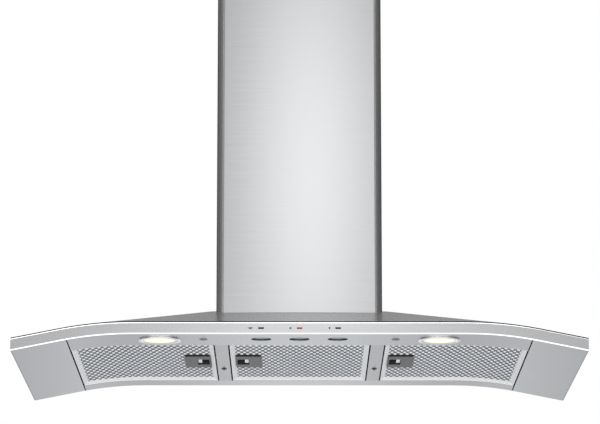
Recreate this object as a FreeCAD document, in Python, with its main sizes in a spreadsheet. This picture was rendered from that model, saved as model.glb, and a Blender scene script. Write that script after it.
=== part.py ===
import FreeCAD, Part
import math
import operator
import os
import Sketcher

# A wall-mounted chimney hood with an arched canopy. X runs along the wall, Y points into the wall
# and Z is up. The wall is the plane y = 0. Pieces are drawn with the canopy's flat underside at
# z = 0 and then lowered, so that the origin is the middle of the four wall fixings.

SIZES = {
    # canopy outline
    "canopy_width": 900.0,
    "canopy_depth": 500.0,
    "band_height": 17.0,
    "sheet": 1.2,
    "arch_flat_half": 262.0,
    "arch_radius": 560.0,
    "arch_angle": 11.3,
    # top skin
    "skin": 1.0,
    "shadow_gap": 2.2,
    "skin_setback": 1.0,
    "ridge_setback": 290.0,
    "plateau_half": 140.0,
    "plateau_height": 89.5,
    "ridge_radius": 60.0,
    "skin_flange_setback": 12.5,
    "back_sheet": 1.5,
    "solid_depth_below": 60.0,
    # front and side bands
    "band_flange": 12.0,
    "band_lip": 3.0,
    "band_bevel": 1.0,
    "side_flange": 10.0,
    "side_gap": 0.3,
    # underside strips and end panels
    "front_strip_depth": 102.0,
    "rear_strip_depth": 49.5,
    "strip_flange": 14.0,
    "end_panel_start": 364.5,
    "seam_gap": 1.8,
    # crossbars
    "crossbar_offset": 124.0,
    "crossbar_width": 21.0,
    "crossbar_height": 15.0,
    "crossbar_screw_setback": 327.0,
    "crossbar_head_radius": 4.5,
    "crossbar_head_rim": 0.8,
    "crossbar_dome_radius": 2.75,
    "crossbar_dome_height": 2.6,
    "crossbar_shank_radius": 1.9,
    "crossbar_shank_length": 9.0,
    "screw_clearance": 0.1,
    # grease filters
    "filter_side_gap": 2.4,
    "filter_end_gap": 2.0,
    "filter_thickness": 9.0,
    "filter_rim": 8.0,
    "filter_recess": 5.0,
    "filter_edge_flat": 1.0,
    "mesh_thickness": 1.4,
    "mesh_pitch": 20.0,
    "mesh_hole_radius": 6.5,
    "mesh_margin": 3.0,
    "pivot_inset": 2.6,
    "pivot_height": 3.6,
    "pivot_radius": 1.5,
    "pivot_clearance": 0.08,
    "pivot_overhang": 1.0,
    # handle tray, finger well and latch of a filter, measured from the filter's latch end
    "tray_start": 8.0,
    "tray_end": 49.0,
    "tray_half_length": 53.5,
    "tray_face": 2.7,
    "tray_top": 10.0,
    "tray_sheet": 1.0,
    "well_start": 10.2,
    "well_end": 28.8,
    "well_half_length": 24.0,
    "well_back": 36.0,
    "well_height": 17.0,
    "latch_tab_start": 22.2,
    "latch_tab_thick": 6.3,
    "latch_tab_half_length": 17.5,
    "latch_bar_half_width": 5.0,
    "latch_bar_thick": 1.6,
    "latch_clearance": 0.4,
    "latch_tip_gap": 0.6,
    "spring_radius": 2.4,
    "spring_bore": 1.6,
    # lamps
    "lamp_offset": 220.0,
    "lamp_setback": 53.0,
    "lamp_ring_radius": 33.5,
    "lamp_ring_drop": 2.0,
    "lamp_ring_edge": 1.2,
    "lamp_barrel_radius": 30.0,
    "lamp_barrel_height": 13.0,
    "lamp_lens_radius": 25.0,
    "lamp_lens_drop": 1.2,
    "lamp_lens_thick": 3.0,
    "lamp_seat_width": 2.0,
    "lamp_hole_clearance": 0.3,
    "reflector_height": 12.0,
    "reflector_neck_radius": 8.0,
    "reflector_wall": 1.0,
    "lamp_socket_radius": 9.5,
    "lamp_socket_height": 8.0,
    "lamp_terminal_radius": 5.0,
    "lamp_terminal_height": 4.0,
    # push buttons, their housing and board
    "button_spacing": 60.0,
    "button_setback": 47.5,
    "button_radius": 15.5,
    "button_clearance": 0.4,
    "button_recess": 2.5,
    "button_height": 10.0,
    "button_rim": 1.4,
    "button_dish": 1.6,
    "housing_half_length": 80.0,
    "housing_half_width": 26.0,
    "housing_floor": 15.5,
    "housing_height": 22.0,
    "housing_wall": 1.5,
    "board_thick": 1.6,
    "board_gap": 0.3,
    "relay_radius": 5.0,
    "relay_height": 3.0,
    "relay_offset": 30.0,
    # indicator windows in the band
    "indicator_width": 9.0,
    "indicator_height": 3.0,
    "indicator_level": 9.2,
    "indicator_depth": 2.4,
    # caps in the front strip
    "cap_offset": 151.0,
    "cap_setback": 49.0,
    "cap_radius": 6.75,
    "cap_drop": 1.5,
    "cap_edge": 0.5,
    "cap_stem_radius": 3.5,
    "cap_stem_length": 8.0,
    # chimney covers
    "chimney_half_width": 136.2,
    "chimney_depth": 250.0,
    "chimney_bevel_width": 11.2,
    "chimney_bevel_depth": 14.0,
    "chimney_sheet": 1.0,
    "chimney_gap": 0.4,
    "chimney_top": 650.0,
    "upper_bottom": 245.0,
    "upper_top": 740.0,
    "bracket_drop": 12.0,
    "bracket_height": 30.0,
    "bracket_reach": 22.0,
    "bracket_sheet": 1.5,
    "bracket_hole_spacing": 160.0,
    "bracket_hole_radius": 3.0,
    # motor box with its wall plate
    "box_half_width": 100.0,
    "box_depth": 215.0,
    "box_top": 330.0,
    "box_sheet": 1.0,
    "box_mouth_margin": 6.0,
    "plate_half_width": 126.0,
    "plate_top": 400.0,
    "plate_sheet": 2.0,
    "fixing_height": 220.0,
    "fixing_spacing_wide": 226.0,
    "fixing_spacing_high": 200.0,
    "fixing_hole_radius": 4.0,
    # duct spigot and flaps
    "duct_setback": 108.5,
    "spigot_radius": 75.0,
    "spigot_wall": 1.5,
    "spigot_height": 46.0,
    "collar_half_width": 92.0,
    "collar_sheet": 1.5,
    "flap_level": 20.0,
    "flap_gap": 0.6,
    "flap_sheet": 1.5,
    "flap_root": 6.0,
    "flap_pin_radius": 2.0,
    "flap_pin_clearance": 0.06,
    "flap_knuckle_radius": 3.4,
    "flap_knuckle_length": 16.0,
    "flap_knuckle_near": 16.0,
    "flap_knuckle_far": 40.0,
    "flap_stop_width": 2.5,
    "flap_stop_height": 2.0,
    "flap_stop_gap": 0.3,
    # blower
    "blower_level": 196.0,
    "scroll_radius": 88.0,
    "scroll_offset": 6.0,
    "scroll_width": 110.0,
    "scroll_wall": 2.0,
    "inlet_radius": 56.0,
    "inlet_ring_radius": 64.0,
    "inlet_ring_wall": 2.0,
    "inlet_ring_thick": 3.0,
    "inlet_lip": 8.0,
    "impeller_radius": 71.0,
    "impeller_width": 88.0,
    "impeller_disc": 3.0,
    "impeller_ring_width": 2.5,
    "blade_depth": 11.0,
    "blade_thick": 1.0,
    "blade_count": 24.0,
    "hub_radius": 10.0,
    "hub_length": 12.0,
    "shaft_radius": 4.0,
    "shaft_clearance": 0.05,
    "shaft_overhang": 4.0,
    "motor_radius": 40.0,
    "motor_gap": 3.0,
    "motor_overhang": 6.0,
    "motor_edge": 4.0,
    "mount_ring_wall": 5.0,
    "mount_arm_width": 8.0,
    "mount_thick": 3.0,
    "mount_reach": 78.0,
    "mount_pad": 12.0,
    # electrical parts on the front of the motor box
    "capacitor_radius": 13.0,
    "capacitor_height": 62.0,
    "capacitor_offset": 62.0,
    "capacitor_level": 200.0,
    "capacitor_cap_radius": 10.0,
    "capacitor_cap_height": 5.0,
    "supply_left": -88.0,
    "supply_right": 8.0,
    "supply_depth": 27.0,
    "supply_bottom": 180.0,
    "supply_top": 300.0,
    "supply_wall": 2.0,
    "gland_radius": 8.0,
    "gland_bore": 4.0,
    "gland_nut_radius": 11.0,
    "gland_nut_height": 6.0,
    "gland_height": 20.0,
    "gland_seat": 0.5,
    # how far a cutting tool runs past the piece it cuts
    "overrun": 2.0,
}

doc = FreeCAD.newDocument("RangeHood")
sheet = doc.addObject("Spreadsheet::Sheet", "Sizes")
for row, (alias, amount) in enumerate(SIZES.items(), 1):
    sheet.set("A%d" % row, alias)
    sheet.set("B%d" % row, str(amount))
    sheet.setAlias("B%d" % row, alias)
doc.recompute()

SIGNS = {"+": operator.add, "-": operator.sub, "*": operator.mul, "/": operator.truediv}


class Formula:
    """A size worked out from the sheet: its text ties a property, its value is used in code."""

    def __init__(self, text, value):
        self.text = text
        self.value = value

    def __add__(self, other):
        return joined(self, "+", other)

    def __radd__(self, other):
        return joined(other, "+", self)

    def __sub__(self, other):
        return joined(self, "-", other)

    def __rsub__(self, other):
        return joined(other, "-", self)

    def __mul__(self, other):
        return joined(self, "*", other)

    def __rmul__(self, other):
        return joined(other, "*", self)

    def __truediv__(self, other):
        return joined(self, "/", other)

    def __neg__(self):
        return joined(0, "-", self)


def formula(item):
    """Takes a plain number as a formula too."""
    if isinstance(item, Formula):
        return item
    return Formula(repr(float(item)), float(item))


def joined(left, sign, right):
    first = formula(left)
    second = formula(right)
    text = "(%s %s %s)" % (first.text, sign, second.text)
    return Formula(text, SIGNS[sign](first.value, second.value))


def hypotenuse(first, second):
    text = "sqrt(%s ^ 2 + %s ^ 2)" % (first.text, second.text)
    return Formula(text, math.hypot(first.value, second.value))


class Sheet:
    """The sheet's cells by name: as formulas, or as plain numbers."""

    def __init__(self, plain):
        for alias in SIZES:
            number = float(sheet.get(alias))
            setattr(self, alias, number if plain else Formula("Sizes." + alias, number))


mm = Sheet(plain=True)
cell = Sheet(plain=False)
V = FreeCAD.Vector
SUBPARTS = []
LEVELS = {}


def bind(thing, path, amount):
    """Ties one property of an object to the sheet."""
    amount = formula(amount)
    if "Sizes." in amount.text:
        thing.setExpression(path, amount.text)


def place(thing, x, y, z):
    bind(thing, ".Placement.Base.x", x)
    bind(thing, ".Placement.Base.y", y)
    bind(thing, ".Placement.Base.z", z)
    LEVELS[thing.Name] = formula(z)


def block(name, x_range, y_range, z_range):
    """A box between two opposite corners."""
    thing = doc.addObject("Part::Box", name)
    bind(thing, "Length", formula(x_range[1]) - x_range[0])
    bind(thing, "Width", formula(y_range[1]) - y_range[0])
    bind(thing, "Height", formula(z_range[1]) - z_range[0])
    place(thing, x_range[0], y_range[0], z_range[0])
    return thing


def rod(name, radius, length, x, y, z, along="Z"):
    """A cylinder that starts at a point and runs along one axis."""
    thing = doc.addObject("Part::Cylinder", name)
    if along == "Y":
        thing.Placement.Rotation = FreeCAD.Rotation(V(1, 0, 0), -90)
    if along == "X":
        thing.Placement.Rotation = FreeCAD.Rotation(V(0, 1, 0), 90)
    bind(thing, "Radius", radius)
    bind(thing, "Height", length)
    place(thing, x, y, z)
    return thing


def fused(name, *pieces):
    thing = doc.addObject("Part::MultiFuse", name)
    thing.Shapes = list(pieces)
    return thing


def common(name, *pieces):
    thing = doc.addObject("Part::MultiCommon", name)
    thing.Shapes = list(pieces)
    return thing


def cut(name, base, *tools):
    thing = doc.addObject("Part::Cut", name)
    thing.Base = base
    thing.Tool = tools[0] if len(tools) == 1 else fused(name + "_tools", *tools)
    return thing


def group(name, *pieces):
    """Separate solids of identical fasteners kept as one piece."""
    thing = doc.addObject("Part::Compound", name)
    thing.Links = list(pieces)
    return thing


def subpart(label, thing):
    """Names a finished piece and lowers it to the level of the wall fixings."""
    thing.Label = label
    bind(thing, ".Placement.Base.z", LEVELS.get(thing.Name, formula(0)) - cell.fixing_height)
    SUBPARTS.append(thing)
    return thing


def shaped(label, shape):
    """A piece whose surface no standard feature gives, as one refined shape."""
    thing = doc.addObject("Part::Feature", label)
    thing.Shape = shape
    return subpart(label, thing)


def sketch_on(body, role, name):
    plane = [part for part in body.Origin.OriginFeatures if part.Role == role][0]
    sketch = body.newObject("Sketcher::SketchObject", name)
    sketch.AttachmentSupport = [(plane, "")]
    sketch.MapMode = "FlatFace"
    return sketch


def pin_point(sketch, line, point):
    """Holds the start of a sketch line, or a circle's centre, at a point tied to the sheet."""
    spot = 3 if sketch.Geometry[line].TypeId == "Part::GeomCircle" else 1
    for axis, kind, across in ((0, "DistanceX", -2), (1, "DistanceY", -1)):
        amount = formula(point[axis])
        if amount.value == 0:
            sketch.addConstraint(Sketcher.Constraint("PointOnObject", line, spot, across))
            continue
        held = sketch.addConstraint(Sketcher.Constraint(kind, -1, 1, line, spot, amount.value))
        bind(sketch, "Constraints[%d]" % held, amount)


def draw(sketch, points):
    """A closed outline of straight lines whose corners are tied to the sheet."""
    first = sketch.GeometryCount
    corners = [V(formula(x).value, formula(y).value, 0) for x, y in points]
    count = len(points)
    for turn in range(count):
        sketch.addGeometry(Part.LineSegment(corners[turn], corners[(turn + 1) % count]), False)
    for turn in range(count):
        after = first + (turn + 1) % count
        sketch.addConstraint(Sketcher.Constraint("Coincident", first + turn, 2, after, 1))
    for turn in range(count):
        pin_point(sketch, first + turn, points[turn])


def ring(sketch, x, y, *radii):
    """Circles about one point, tied to the sheet."""
    for radius in radii:
        centre = V(formula(x).value, formula(y).value, 0)
        line = sketch.addGeometry(Part.Circle(centre, V(0, 0, 1), radius.value), False)
        held = sketch.addConstraint(Sketcher.Constraint("Radius", line, radius.value))
        bind(sketch, "Constraints[%d]" % held, radius)
        pin_point(sketch, line, (x, y))


def pad(body, name, sketch, length, symmetric=False, backwards=False):
    feature = body.newObject("PartDesign::Pad", name)
    feature.Profile = sketch
    bind(feature, "Length", length)
    feature.SideType = "Symmetric" if symmetric else "One side"
    feature.Reversed = backwards
    return feature


def pocket(body, name, sketch, length, symmetric=False, backwards=False):
    feature = body.newObject("PartDesign::Pocket", name)
    feature.Profile = sketch
    bind(feature, "Length", length)
    feature.SideType = "Symmetric" if symmetric else "One side"
    feature.Reversed = backwards
    return feature


def turned(label, outline, x=0, y=0, z=0, tilt=False):
    """A body turned from its half section (radius, height), upright or with its axis along Y."""
    body = doc.addObject("PartDesign::Body", label)
    sketch = sketch_on(body, "XZ_Plane", label + "_section")
    draw(sketch, outline)
    turn = body.newObject("PartDesign::Revolution", label + "_turn")
    turn.Profile = sketch
    turn.ReferenceAxis = (sketch, ["V_Axis"])
    turn.Angle = 360.0
    if tilt:
        body.Placement.Rotation = FreeCAD.Rotation(V(1, 0, 0), -90)
    place(body, x, y, z)
    return body


# The arch. Every panel of the underside is a sheet that is flat in the middle, bends down on an
# arc towards each end and ends straight. A place on it is its distance along the sheet from the
# middle, and its height square to the sheet.
ARCH_TURN = math.radians(mm.arch_angle)
ARC_END = mm.arch_flat_half + mm.arch_radius * ARCH_TURN


def arch_point(along, rise):
    """The x and z of a place on the arch."""
    side = -1 if along < 0 else 1
    far = abs(along)
    if far <= mm.arch_flat_half:
        return along, rise
    turn = min(far - mm.arch_flat_half, mm.arch_radius * ARCH_TURN) / mm.arch_radius
    x = mm.arch_flat_half + (mm.arch_radius + rise) * math.sin(turn)
    z = (mm.arch_radius + rise) * math.cos(turn) - mm.arch_radius
    rest = max(far - ARC_END, 0)
    return side * (x + rest * math.cos(turn)), z - rest * math.sin(turn)


def arch_place(x, rise=0.0):
    """The distance along the arch at which its straight end reaches x."""
    start = arch_point(ARC_END, rise)[0]
    return ARC_END + (x - start) / math.cos(ARCH_TURN)


def arch_sweep(outline, start, end):
    """The solid of an outline (y, rise) carried along the arch from one place to another."""
    stops = [-ARC_END, -mm.arch_flat_half, mm.arch_flat_half, ARC_END]
    places = [start] + [stop for stop in stops if start < stop < end] + [end]
    runs = []
    for low, high in zip(places, places[1:]):
        points = [V(arch_point(low, rise)[0], y, arch_point(low, rise)[1]) for y, rise in outline]
        face = Part.Face(Part.makePolygon(points + points[:1]))
        middle = (low + high) / 2
        if mm.arch_flat_half < abs(middle) < ARC_END:
            side = 1 if middle > 0 else -1
            centre = V(side * mm.arch_flat_half, 0, -mm.arch_radius)
            angle = math.degrees((high - low) / mm.arch_radius)
            runs.append(face.revolve(centre, V(0, 1, 0), angle))
        else:
            first = V(arch_point(low, 0)[0], 0, arch_point(low, 0)[1])
            last = V(arch_point(high, 0)[0], 0, arch_point(high, 0)[1])
            runs.append(face.extrude(last - first))
    if len(runs) == 1:
        return runs[0]
    return runs[0].multiFuse(runs[1:]).removeSplitter()


def arch_bar(outline, y_low, y_high):
    """The solid of an outline (along, rise) carried straight back from y_low to y_high."""
    points = [V(arch_point(*place)[0], y_low, arch_point(*place)[1]) for place in outline]
    face = Part.Face(Part.makePolygon(points + points[:1]))
    return face.extrude(V(0, y_high - y_low, 0))


def box_shape(x_low, x_high, y_low, y_high, z_low, z_high):
    size = V(x_high - x_low, y_high - y_low, z_high - z_low)
    return Part.makeBox(size.x, size.y, size.z, V(x_low, y_low, z_low))


FRONT = -mm.canopy_depth
HALF = mm.canopy_width / 2
END_PLACE = arch_place(HALF)
STRIP_START = FRONT + mm.band_lip
STRIP_END = FRONT + mm.front_strip_depth
REAR_START = -mm.rear_strip_depth
PANEL_BACK = -mm.back_sheet
FILTER_FRONT = STRIP_END + mm.filter_end_gap
FILTER_BACK = REAR_START - mm.filter_end_gap
FILTER_MIDDLE = (FILTER_FRONT + FILTER_BACK) / 2

# Each filter: its name, the side its latch bolt points away from, its latch end and its pivot end.
CROSSBAR_OUT = mm.crossbar_offset + mm.crossbar_width / 2 + mm.filter_side_gap
CROSSBAR_IN = mm.crossbar_offset - mm.crossbar_width / 2 - mm.filter_side_gap
SIDE_END = mm.end_panel_start - mm.filter_side_gap
FILTERS = (
    ("left", -1, -CROSSBAR_OUT, -SIDE_END),
    ("centre", 1, -CROSSBAR_IN, CROSSBAR_IN),
    ("right", 1, CROSSBAR_OUT, SIDE_END),
)


def pivot_place(side, pivot_end):
    """The x and z of a filter's pivot."""
    return arch_point(pivot_end - side * mm.pivot_inset, mm.pivot_height)


# Top skin: one sheet that rises from the arched front edge to a flat plateau with rounded folds,
# with a flange turned down behind the front band and a mouth under the motor box.
SKIN_RISE = mm.band_height + mm.shadow_gap + mm.skin
SKIN_FRONT = FRONT + mm.skin_setback
SKIN_END_LEVEL = arch_point(arch_place(HALF, SKIN_RISE), SKIN_RISE)[1]


def front_profile():
    """The arched upper edge of the skin at the front, left to right, as edges."""
    flat = mm.arch_flat_half
    places = [arch_place(HALF, SKIN_RISE), ARC_END, flat]
    right = [V(arch_point(spot, SKIN_RISE)[0], SKIN_FRONT, arch_point(spot, SKIN_RISE)[1]) for spot in places]
    middle = arch_point((flat + ARC_END) / 2, SKIN_RISE)
    return right, V(middle[0], SKIN_FRONT, middle[1])


def ridge_profile():
    """The same edge where the slope ends: plateau, rounded fold and straight side slope."""
    y = FRONT + mm.ridge_setback
    centre = V(mm.plateau_half, y, mm.plateau_height - mm.ridge_radius)
    reach = V(HALF - centre.x, 0, SKIN_END_LEVEL - centre.z)
    turn = math.asin(mm.ridge_radius / reach.Length) - math.atan2(reach.z, reach.x)
    right = [V(HALF, y, SKIN_END_LEVEL)]
    for angle in (turn, 0):
        right.append(centre + V(math.sin(angle), 0, math.cos(angle)) * mm.ridge_radius)
    middle = centre + V(math.sin(turn / 2), 0, math.cos(turn / 2)) * mm.ridge_radius
    return right, middle


def mirrored_point(point):
    return V(-point.x, point.y, point.z)


def skin_wire(right, middle):
    """A closed wire: the upper edge, two upright sides and a straight bottom."""
    outer, bend, flat = right
    floor = arch_point(END_PLACE, 0)[1] - mm.solid_depth_below
    foot = V(outer.x, outer.y, floor)
    edges = [Part.makeLine(mirrored_point(foot), mirrored_point(outer))]
    edges.append(Part.makeLine(mirrored_point(outer), mirrored_point(bend)))
    edges.append(Part.Arc(mirrored_point(bend), mirrored_point(middle), mirrored_point(flat)).toShape())
    edges.append(Part.makeLine(mirrored_point(flat), flat))
    edges.append(Part.Arc(flat, middle, bend).toShape())
    edges.append(Part.makeLine(bend, outer))
    edges.append(Part.makeLine(outer, foot))
    edges.append(Part.makeLine(foot, mirrored_point(foot)))
    return Part.Wire(edges)


ridge_wire = skin_wire(*ridge_profile())
slope_solid = Part.makeLoft([skin_wire(*front_profile()), ridge_wire], True, True)
plateau_solid = Part.Face(ridge_wire).extrude(V(0, mm.canopy_depth - mm.ridge_setback, 0))
under_skin = slope_solid.fuse(plateau_solid)
inside = under_skin.copy()
inside.translate(V(0, 0, -mm.skin))
flange_back = FRONT + mm.skin_flange_setback + mm.skin
flange_outline = [
    (FRONT + mm.skin_flange_setback, mm.sheet),
    (flange_back, mm.sheet),
    (flange_back, mm.plateau_height),
    (FRONT + mm.skin_flange_setback, mm.plateau_height),
]
flange_end = arch_place(HALF)
flange = arch_sweep(flange_outline, -flange_end, flange_end).common(under_skin)
mouth_half = mm.box_half_width - mm.box_mouth_margin
mouth = box_shape(
    -mouth_half, mouth_half, -mm.box_depth + mm.box_mouth_margin, -mm.plate_sheet - mm.box_mouth_margin,
    mm.band_height, mm.plateau_height + mm.overrun,
)
side_cut = box_shape(-HALF, HALF, FRONT, 0, -mm.plateau_height, mm.plateau_height + mm.overrun)
trim_half = HALF - mm.side_gap
trim_cut = box_shape(-trim_half, trim_half, FRONT, 0, -mm.plateau_height, mm.plateau_height + mm.overrun)
skin = under_skin.cut(inside).fuse(flange.common(trim_cut)).cut(mouth).removeSplitter()
shaped("canopy_top_skin", skin)

# Back panel: a flat sheet against the wall, under the top skin and down to the arch.
back_end = arch_place(HALF)
back_outline = [
    (PANEL_BACK, 0), (0, 0),
    (0, mm.plateau_height + mm.canopy_width / 2), (PANEL_BACK, mm.plateau_height + mm.canopy_width / 2),
]
shaped("back_panel", arch_sweep(back_outline, -back_end, back_end).common(inside).common(trim_cut))

# Front band: a channel open to the back, with three windows for the indicator lenses.
band_outline = [
    (FRONT, mm.band_bevel),
    (FRONT, mm.band_height - mm.band_bevel),
    (FRONT + mm.band_bevel, mm.band_height),
    (FRONT + mm.band_flange, mm.band_height),
    (FRONT + mm.band_flange, mm.band_height - mm.sheet),
    (FRONT + mm.sheet, mm.band_height - mm.sheet),
    (FRONT + mm.sheet, mm.sheet),
    (FRONT + mm.band_lip, mm.sheet),
    (FRONT + mm.band_lip, 0),
    (FRONT + mm.band_bevel, 0),
]
band_reach = arch_place(HALF) + mm.side_flange
band = arch_sweep(band_outline, -band_reach, band_reach).common(side_cut)
band_end_outline = [
    (FRONT + mm.sheet, 0),
    (FRONT + mm.sheet, mm.band_height),
    (FRONT + mm.band_flange, mm.band_height),
    (FRONT + mm.band_flange, 0),
]
for name, low, high in (("left", -HALF, mm.sheet - HALF), ("right", HALF - mm.sheet, HALF)):
    end_box = box_shape(low, high, FRONT, FRONT + mm.band_flange, -mm.plateau_height, mm.plateau_height)
    end_wall = arch_sweep(band_end_outline, -band_reach, band_reach).common(end_box)
    band = band.fuse(end_wall).removeSplitter()
for spot in (-1, 0, 1):
    x = spot * mm.button_spacing
    window = box_shape(
        x - mm.indicator_width / 2, x + mm.indicator_width / 2,
        FRONT - mm.overrun, FRONT + mm.sheet + mm.overrun,
        mm.indicator_level - mm.indicator_height / 2, mm.indicator_level + mm.indicator_height / 2,
    )
    band = band.cut(window)
shaped("front_band", band)

# Indicator lenses: three small clear blocks that fill the band's windows.
for name, spot in (("left", -1), ("centre", 0), ("right", 1)):
    x = spot * cell.button_spacing
    level = cell.indicator_level
    lens = block(
        "indicator_" + name,
        (x - cell.indicator_width / 2, x + cell.indicator_width / 2),
        (-cell.canopy_depth, -cell.canopy_depth + cell.indicator_depth),
        (level - cell.indicator_height / 2, level + cell.indicator_height / 2),
    )
    subpart("indicator_lens_" + name, lens)

# Side bands: an upright strip at each end of the canopy, with a lip over the end panel.
END_LEVEL = arch_point(END_PLACE, 0)[1]


def level_at(x, rise):
    """The height of the arch's straight end above a place x, at a rise square to the sheet."""
    return END_LEVEL + (HALF - x) * math.tan(ARCH_TURN) + rise / math.cos(ARCH_TURN)


for name, side in (("left", -1), ("right", 1)):
    inner = HALF - mm.sheet
    tip = inner - mm.side_flange
    profile = [
        (HALF, level_at(HALF, 0)),
        (HALF, level_at(HALF, mm.band_height)),
        (inner, level_at(inner, mm.band_height)),
        (inner, level_at(inner, mm.sheet * 2)),
        (tip, level_at(tip, mm.sheet * 2)),
        (tip, level_at(tip, mm.sheet)),
        (inner, level_at(inner, mm.sheet)),
        (inner, level_at(inner, 0)),
    ]
    corners = [V(side * x, flange_back, z) for x, z in profile]
    web = Part.Face(Part.makePolygon(corners + corners[:1]))
    shaped("side_band_" + name, web.extrude(V(0, PANEL_BACK - flange_back, 0)))

# Front strip: carries lamps, caps and buttons, with a flange turned up in front of the filters.
strip_half = mm.end_panel_start - mm.seam_gap
front_outline = [
    (STRIP_START, 0),
    (STRIP_END, 0),
    (STRIP_END, mm.strip_flange),
    (STRIP_END - mm.sheet, mm.strip_flange),
    (STRIP_END - mm.sheet, mm.sheet),
    (STRIP_START, mm.sheet),
]
rear_outline = [
    (REAR_START, 0),
    (PANEL_BACK, 0),
    (PANEL_BACK, mm.sheet),
    (REAR_START + mm.sheet, mm.sheet),
    (REAR_START + mm.sheet, mm.strip_flange),
    (REAR_START, mm.strip_flange),
]


UPWARD = V(0, 0, 1)


def round_cut(radius, x, y, z, length, direction):
    return Part.makeCylinder(radius, length, V(x, y, z), direction)


def pivot_holes(y_middle):
    """Bearing holes for the filters' pivots in a flange."""
    tools = []
    for filter_name, side, latch_end, pivot_end in FILTERS:
        x, z = pivot_place(side, pivot_end)
        radius = mm.pivot_radius + mm.pivot_clearance
        tools.append(round_cut(radius, x, y_middle - mm.overrun, z, 2 * mm.overrun, V(0, 1, 0)))
    return tools


def strip_hole(radius, x, setback):
    """A round hole up through the front strip."""
    return round_cut(radius, x, FRONT + setback, -mm.overrun, 2 * mm.overrun, UPWARD)


strip_cuts = pivot_holes(STRIP_END - mm.sheet / 2)
for side in (-1, 1):
    lamp_hole = mm.lamp_barrel_radius + mm.lamp_hole_clearance
    strip_cuts.append(strip_hole(lamp_hole, side * mm.lamp_offset, mm.lamp_setback))
    strip_cuts.append(strip_hole(mm.cap_stem_radius, side * mm.cap_offset, mm.cap_setback))
for spot in (-1, 0, 1):
    button_hole = mm.button_radius + mm.button_clearance
    strip_cuts.append(strip_hole(button_hole, spot * mm.button_spacing, mm.button_setback))
front_strip = arch_sweep(front_outline, -strip_half, strip_half)
for tool in strip_cuts:
    front_strip = front_strip.cut(tool)
shaped("front_strip", front_strip)
rear_strip = arch_sweep(rear_outline, -strip_half, strip_half)
for tool in pivot_holes(REAR_START + mm.sheet / 2):
    rear_strip = rear_strip.cut(tool)
shaped("rear_strip", rear_strip)

# End panels: plain sheets from the seam to the side bands, with a flange turned up at the seam.
for name, side in (("left", -1), ("right", 1)):
    places = (mm.end_panel_start, arch_place(HALF - mm.sheet - mm.side_gap))
    panel_outline = [(STRIP_START, 0), (PANEL_BACK, 0), (PANEL_BACK, mm.sheet), (STRIP_START, mm.sheet)]
    lip_outline = [
        (FILTER_FRONT, mm.sheet), (FILTER_BACK, mm.sheet),
        (FILTER_BACK, mm.strip_flange), (FILTER_FRONT, mm.strip_flange),
    ]
    if side > 0:
        panel = arch_sweep(panel_outline, places[0], places[1])
        lip = arch_sweep(lip_outline, places[0], places[0] + mm.sheet)
    else:
        panel = arch_sweep(panel_outline, -places[1], -places[0])
        lip = arch_sweep(lip_outline, -places[0] - mm.sheet, -places[0])
    shaped("end_panel_" + name, panel.fuse(lip).removeSplitter())

# Crossbars: channels between the filters, from the front strip's flange to the rear strip's.
SCREW_Y = -cell.canopy_depth + cell.crossbar_screw_setback
screws = []
for name, side in (("left", -1), ("right", 1)):
    body = doc.addObject("PartDesign::Body", "crossbar_" + name)
    section = sketch_on(body, "XZ_Plane", "crossbar_section_" + name)
    half = cell.crossbar_width / 2
    wall = half - cell.sheet
    high = cell.crossbar_height
    draw(section, [
        (-half, 0), (half, 0), (half, high), (wall, high),
        (wall, cell.sheet), (-wall, cell.sheet), (-wall, high), (-half, high),
    ])
    run = cell.canopy_depth - cell.front_strip_depth - cell.rear_strip_depth
    pad(body, "crossbar_run_" + name, section, run)
    hole = sketch_on(body, "XY_Plane", "crossbar_hole_sketch_" + name)
    hole_radius = cell.crossbar_shank_radius + cell.screw_clearance
    ring(hole, 0, SCREW_Y + cell.rear_strip_depth, hole_radius)
    pocket(body, "crossbar_hole_" + name, hole, 2 * cell.sheet, backwards=True)
    place(body, side * cell.crossbar_offset, -cell.rear_strip_depth, 0)
    subpart("crossbar_" + name, body)
    x = side * cell.crossbar_offset
    flat = rod("screw_flange_" + name, cell.crossbar_head_radius, cell.crossbar_head_rim, x, SCREW_Y,
               -cell.crossbar_head_rim)
    dome = doc.addObject("Part::Cone", "screw_dome_" + name)
    bind(dome, "Radius1", cell.crossbar_dome_radius / 2)
    bind(dome, "Radius2", cell.crossbar_dome_radius)
    bind(dome, "Height", cell.crossbar_dome_height - cell.crossbar_head_rim)
    place(dome, x, SCREW_Y, -cell.crossbar_dome_height)
    shank = rod("screw_shank_" + name, cell.crossbar_shank_radius, cell.crossbar_shank_length, x, SCREW_Y, 0)
    screws.append(fused("crossbar_screw_" + name, flat, dome, shank))
subpart("crossbar_screws", group("crossbar_screw_pair", *screws))

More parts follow.
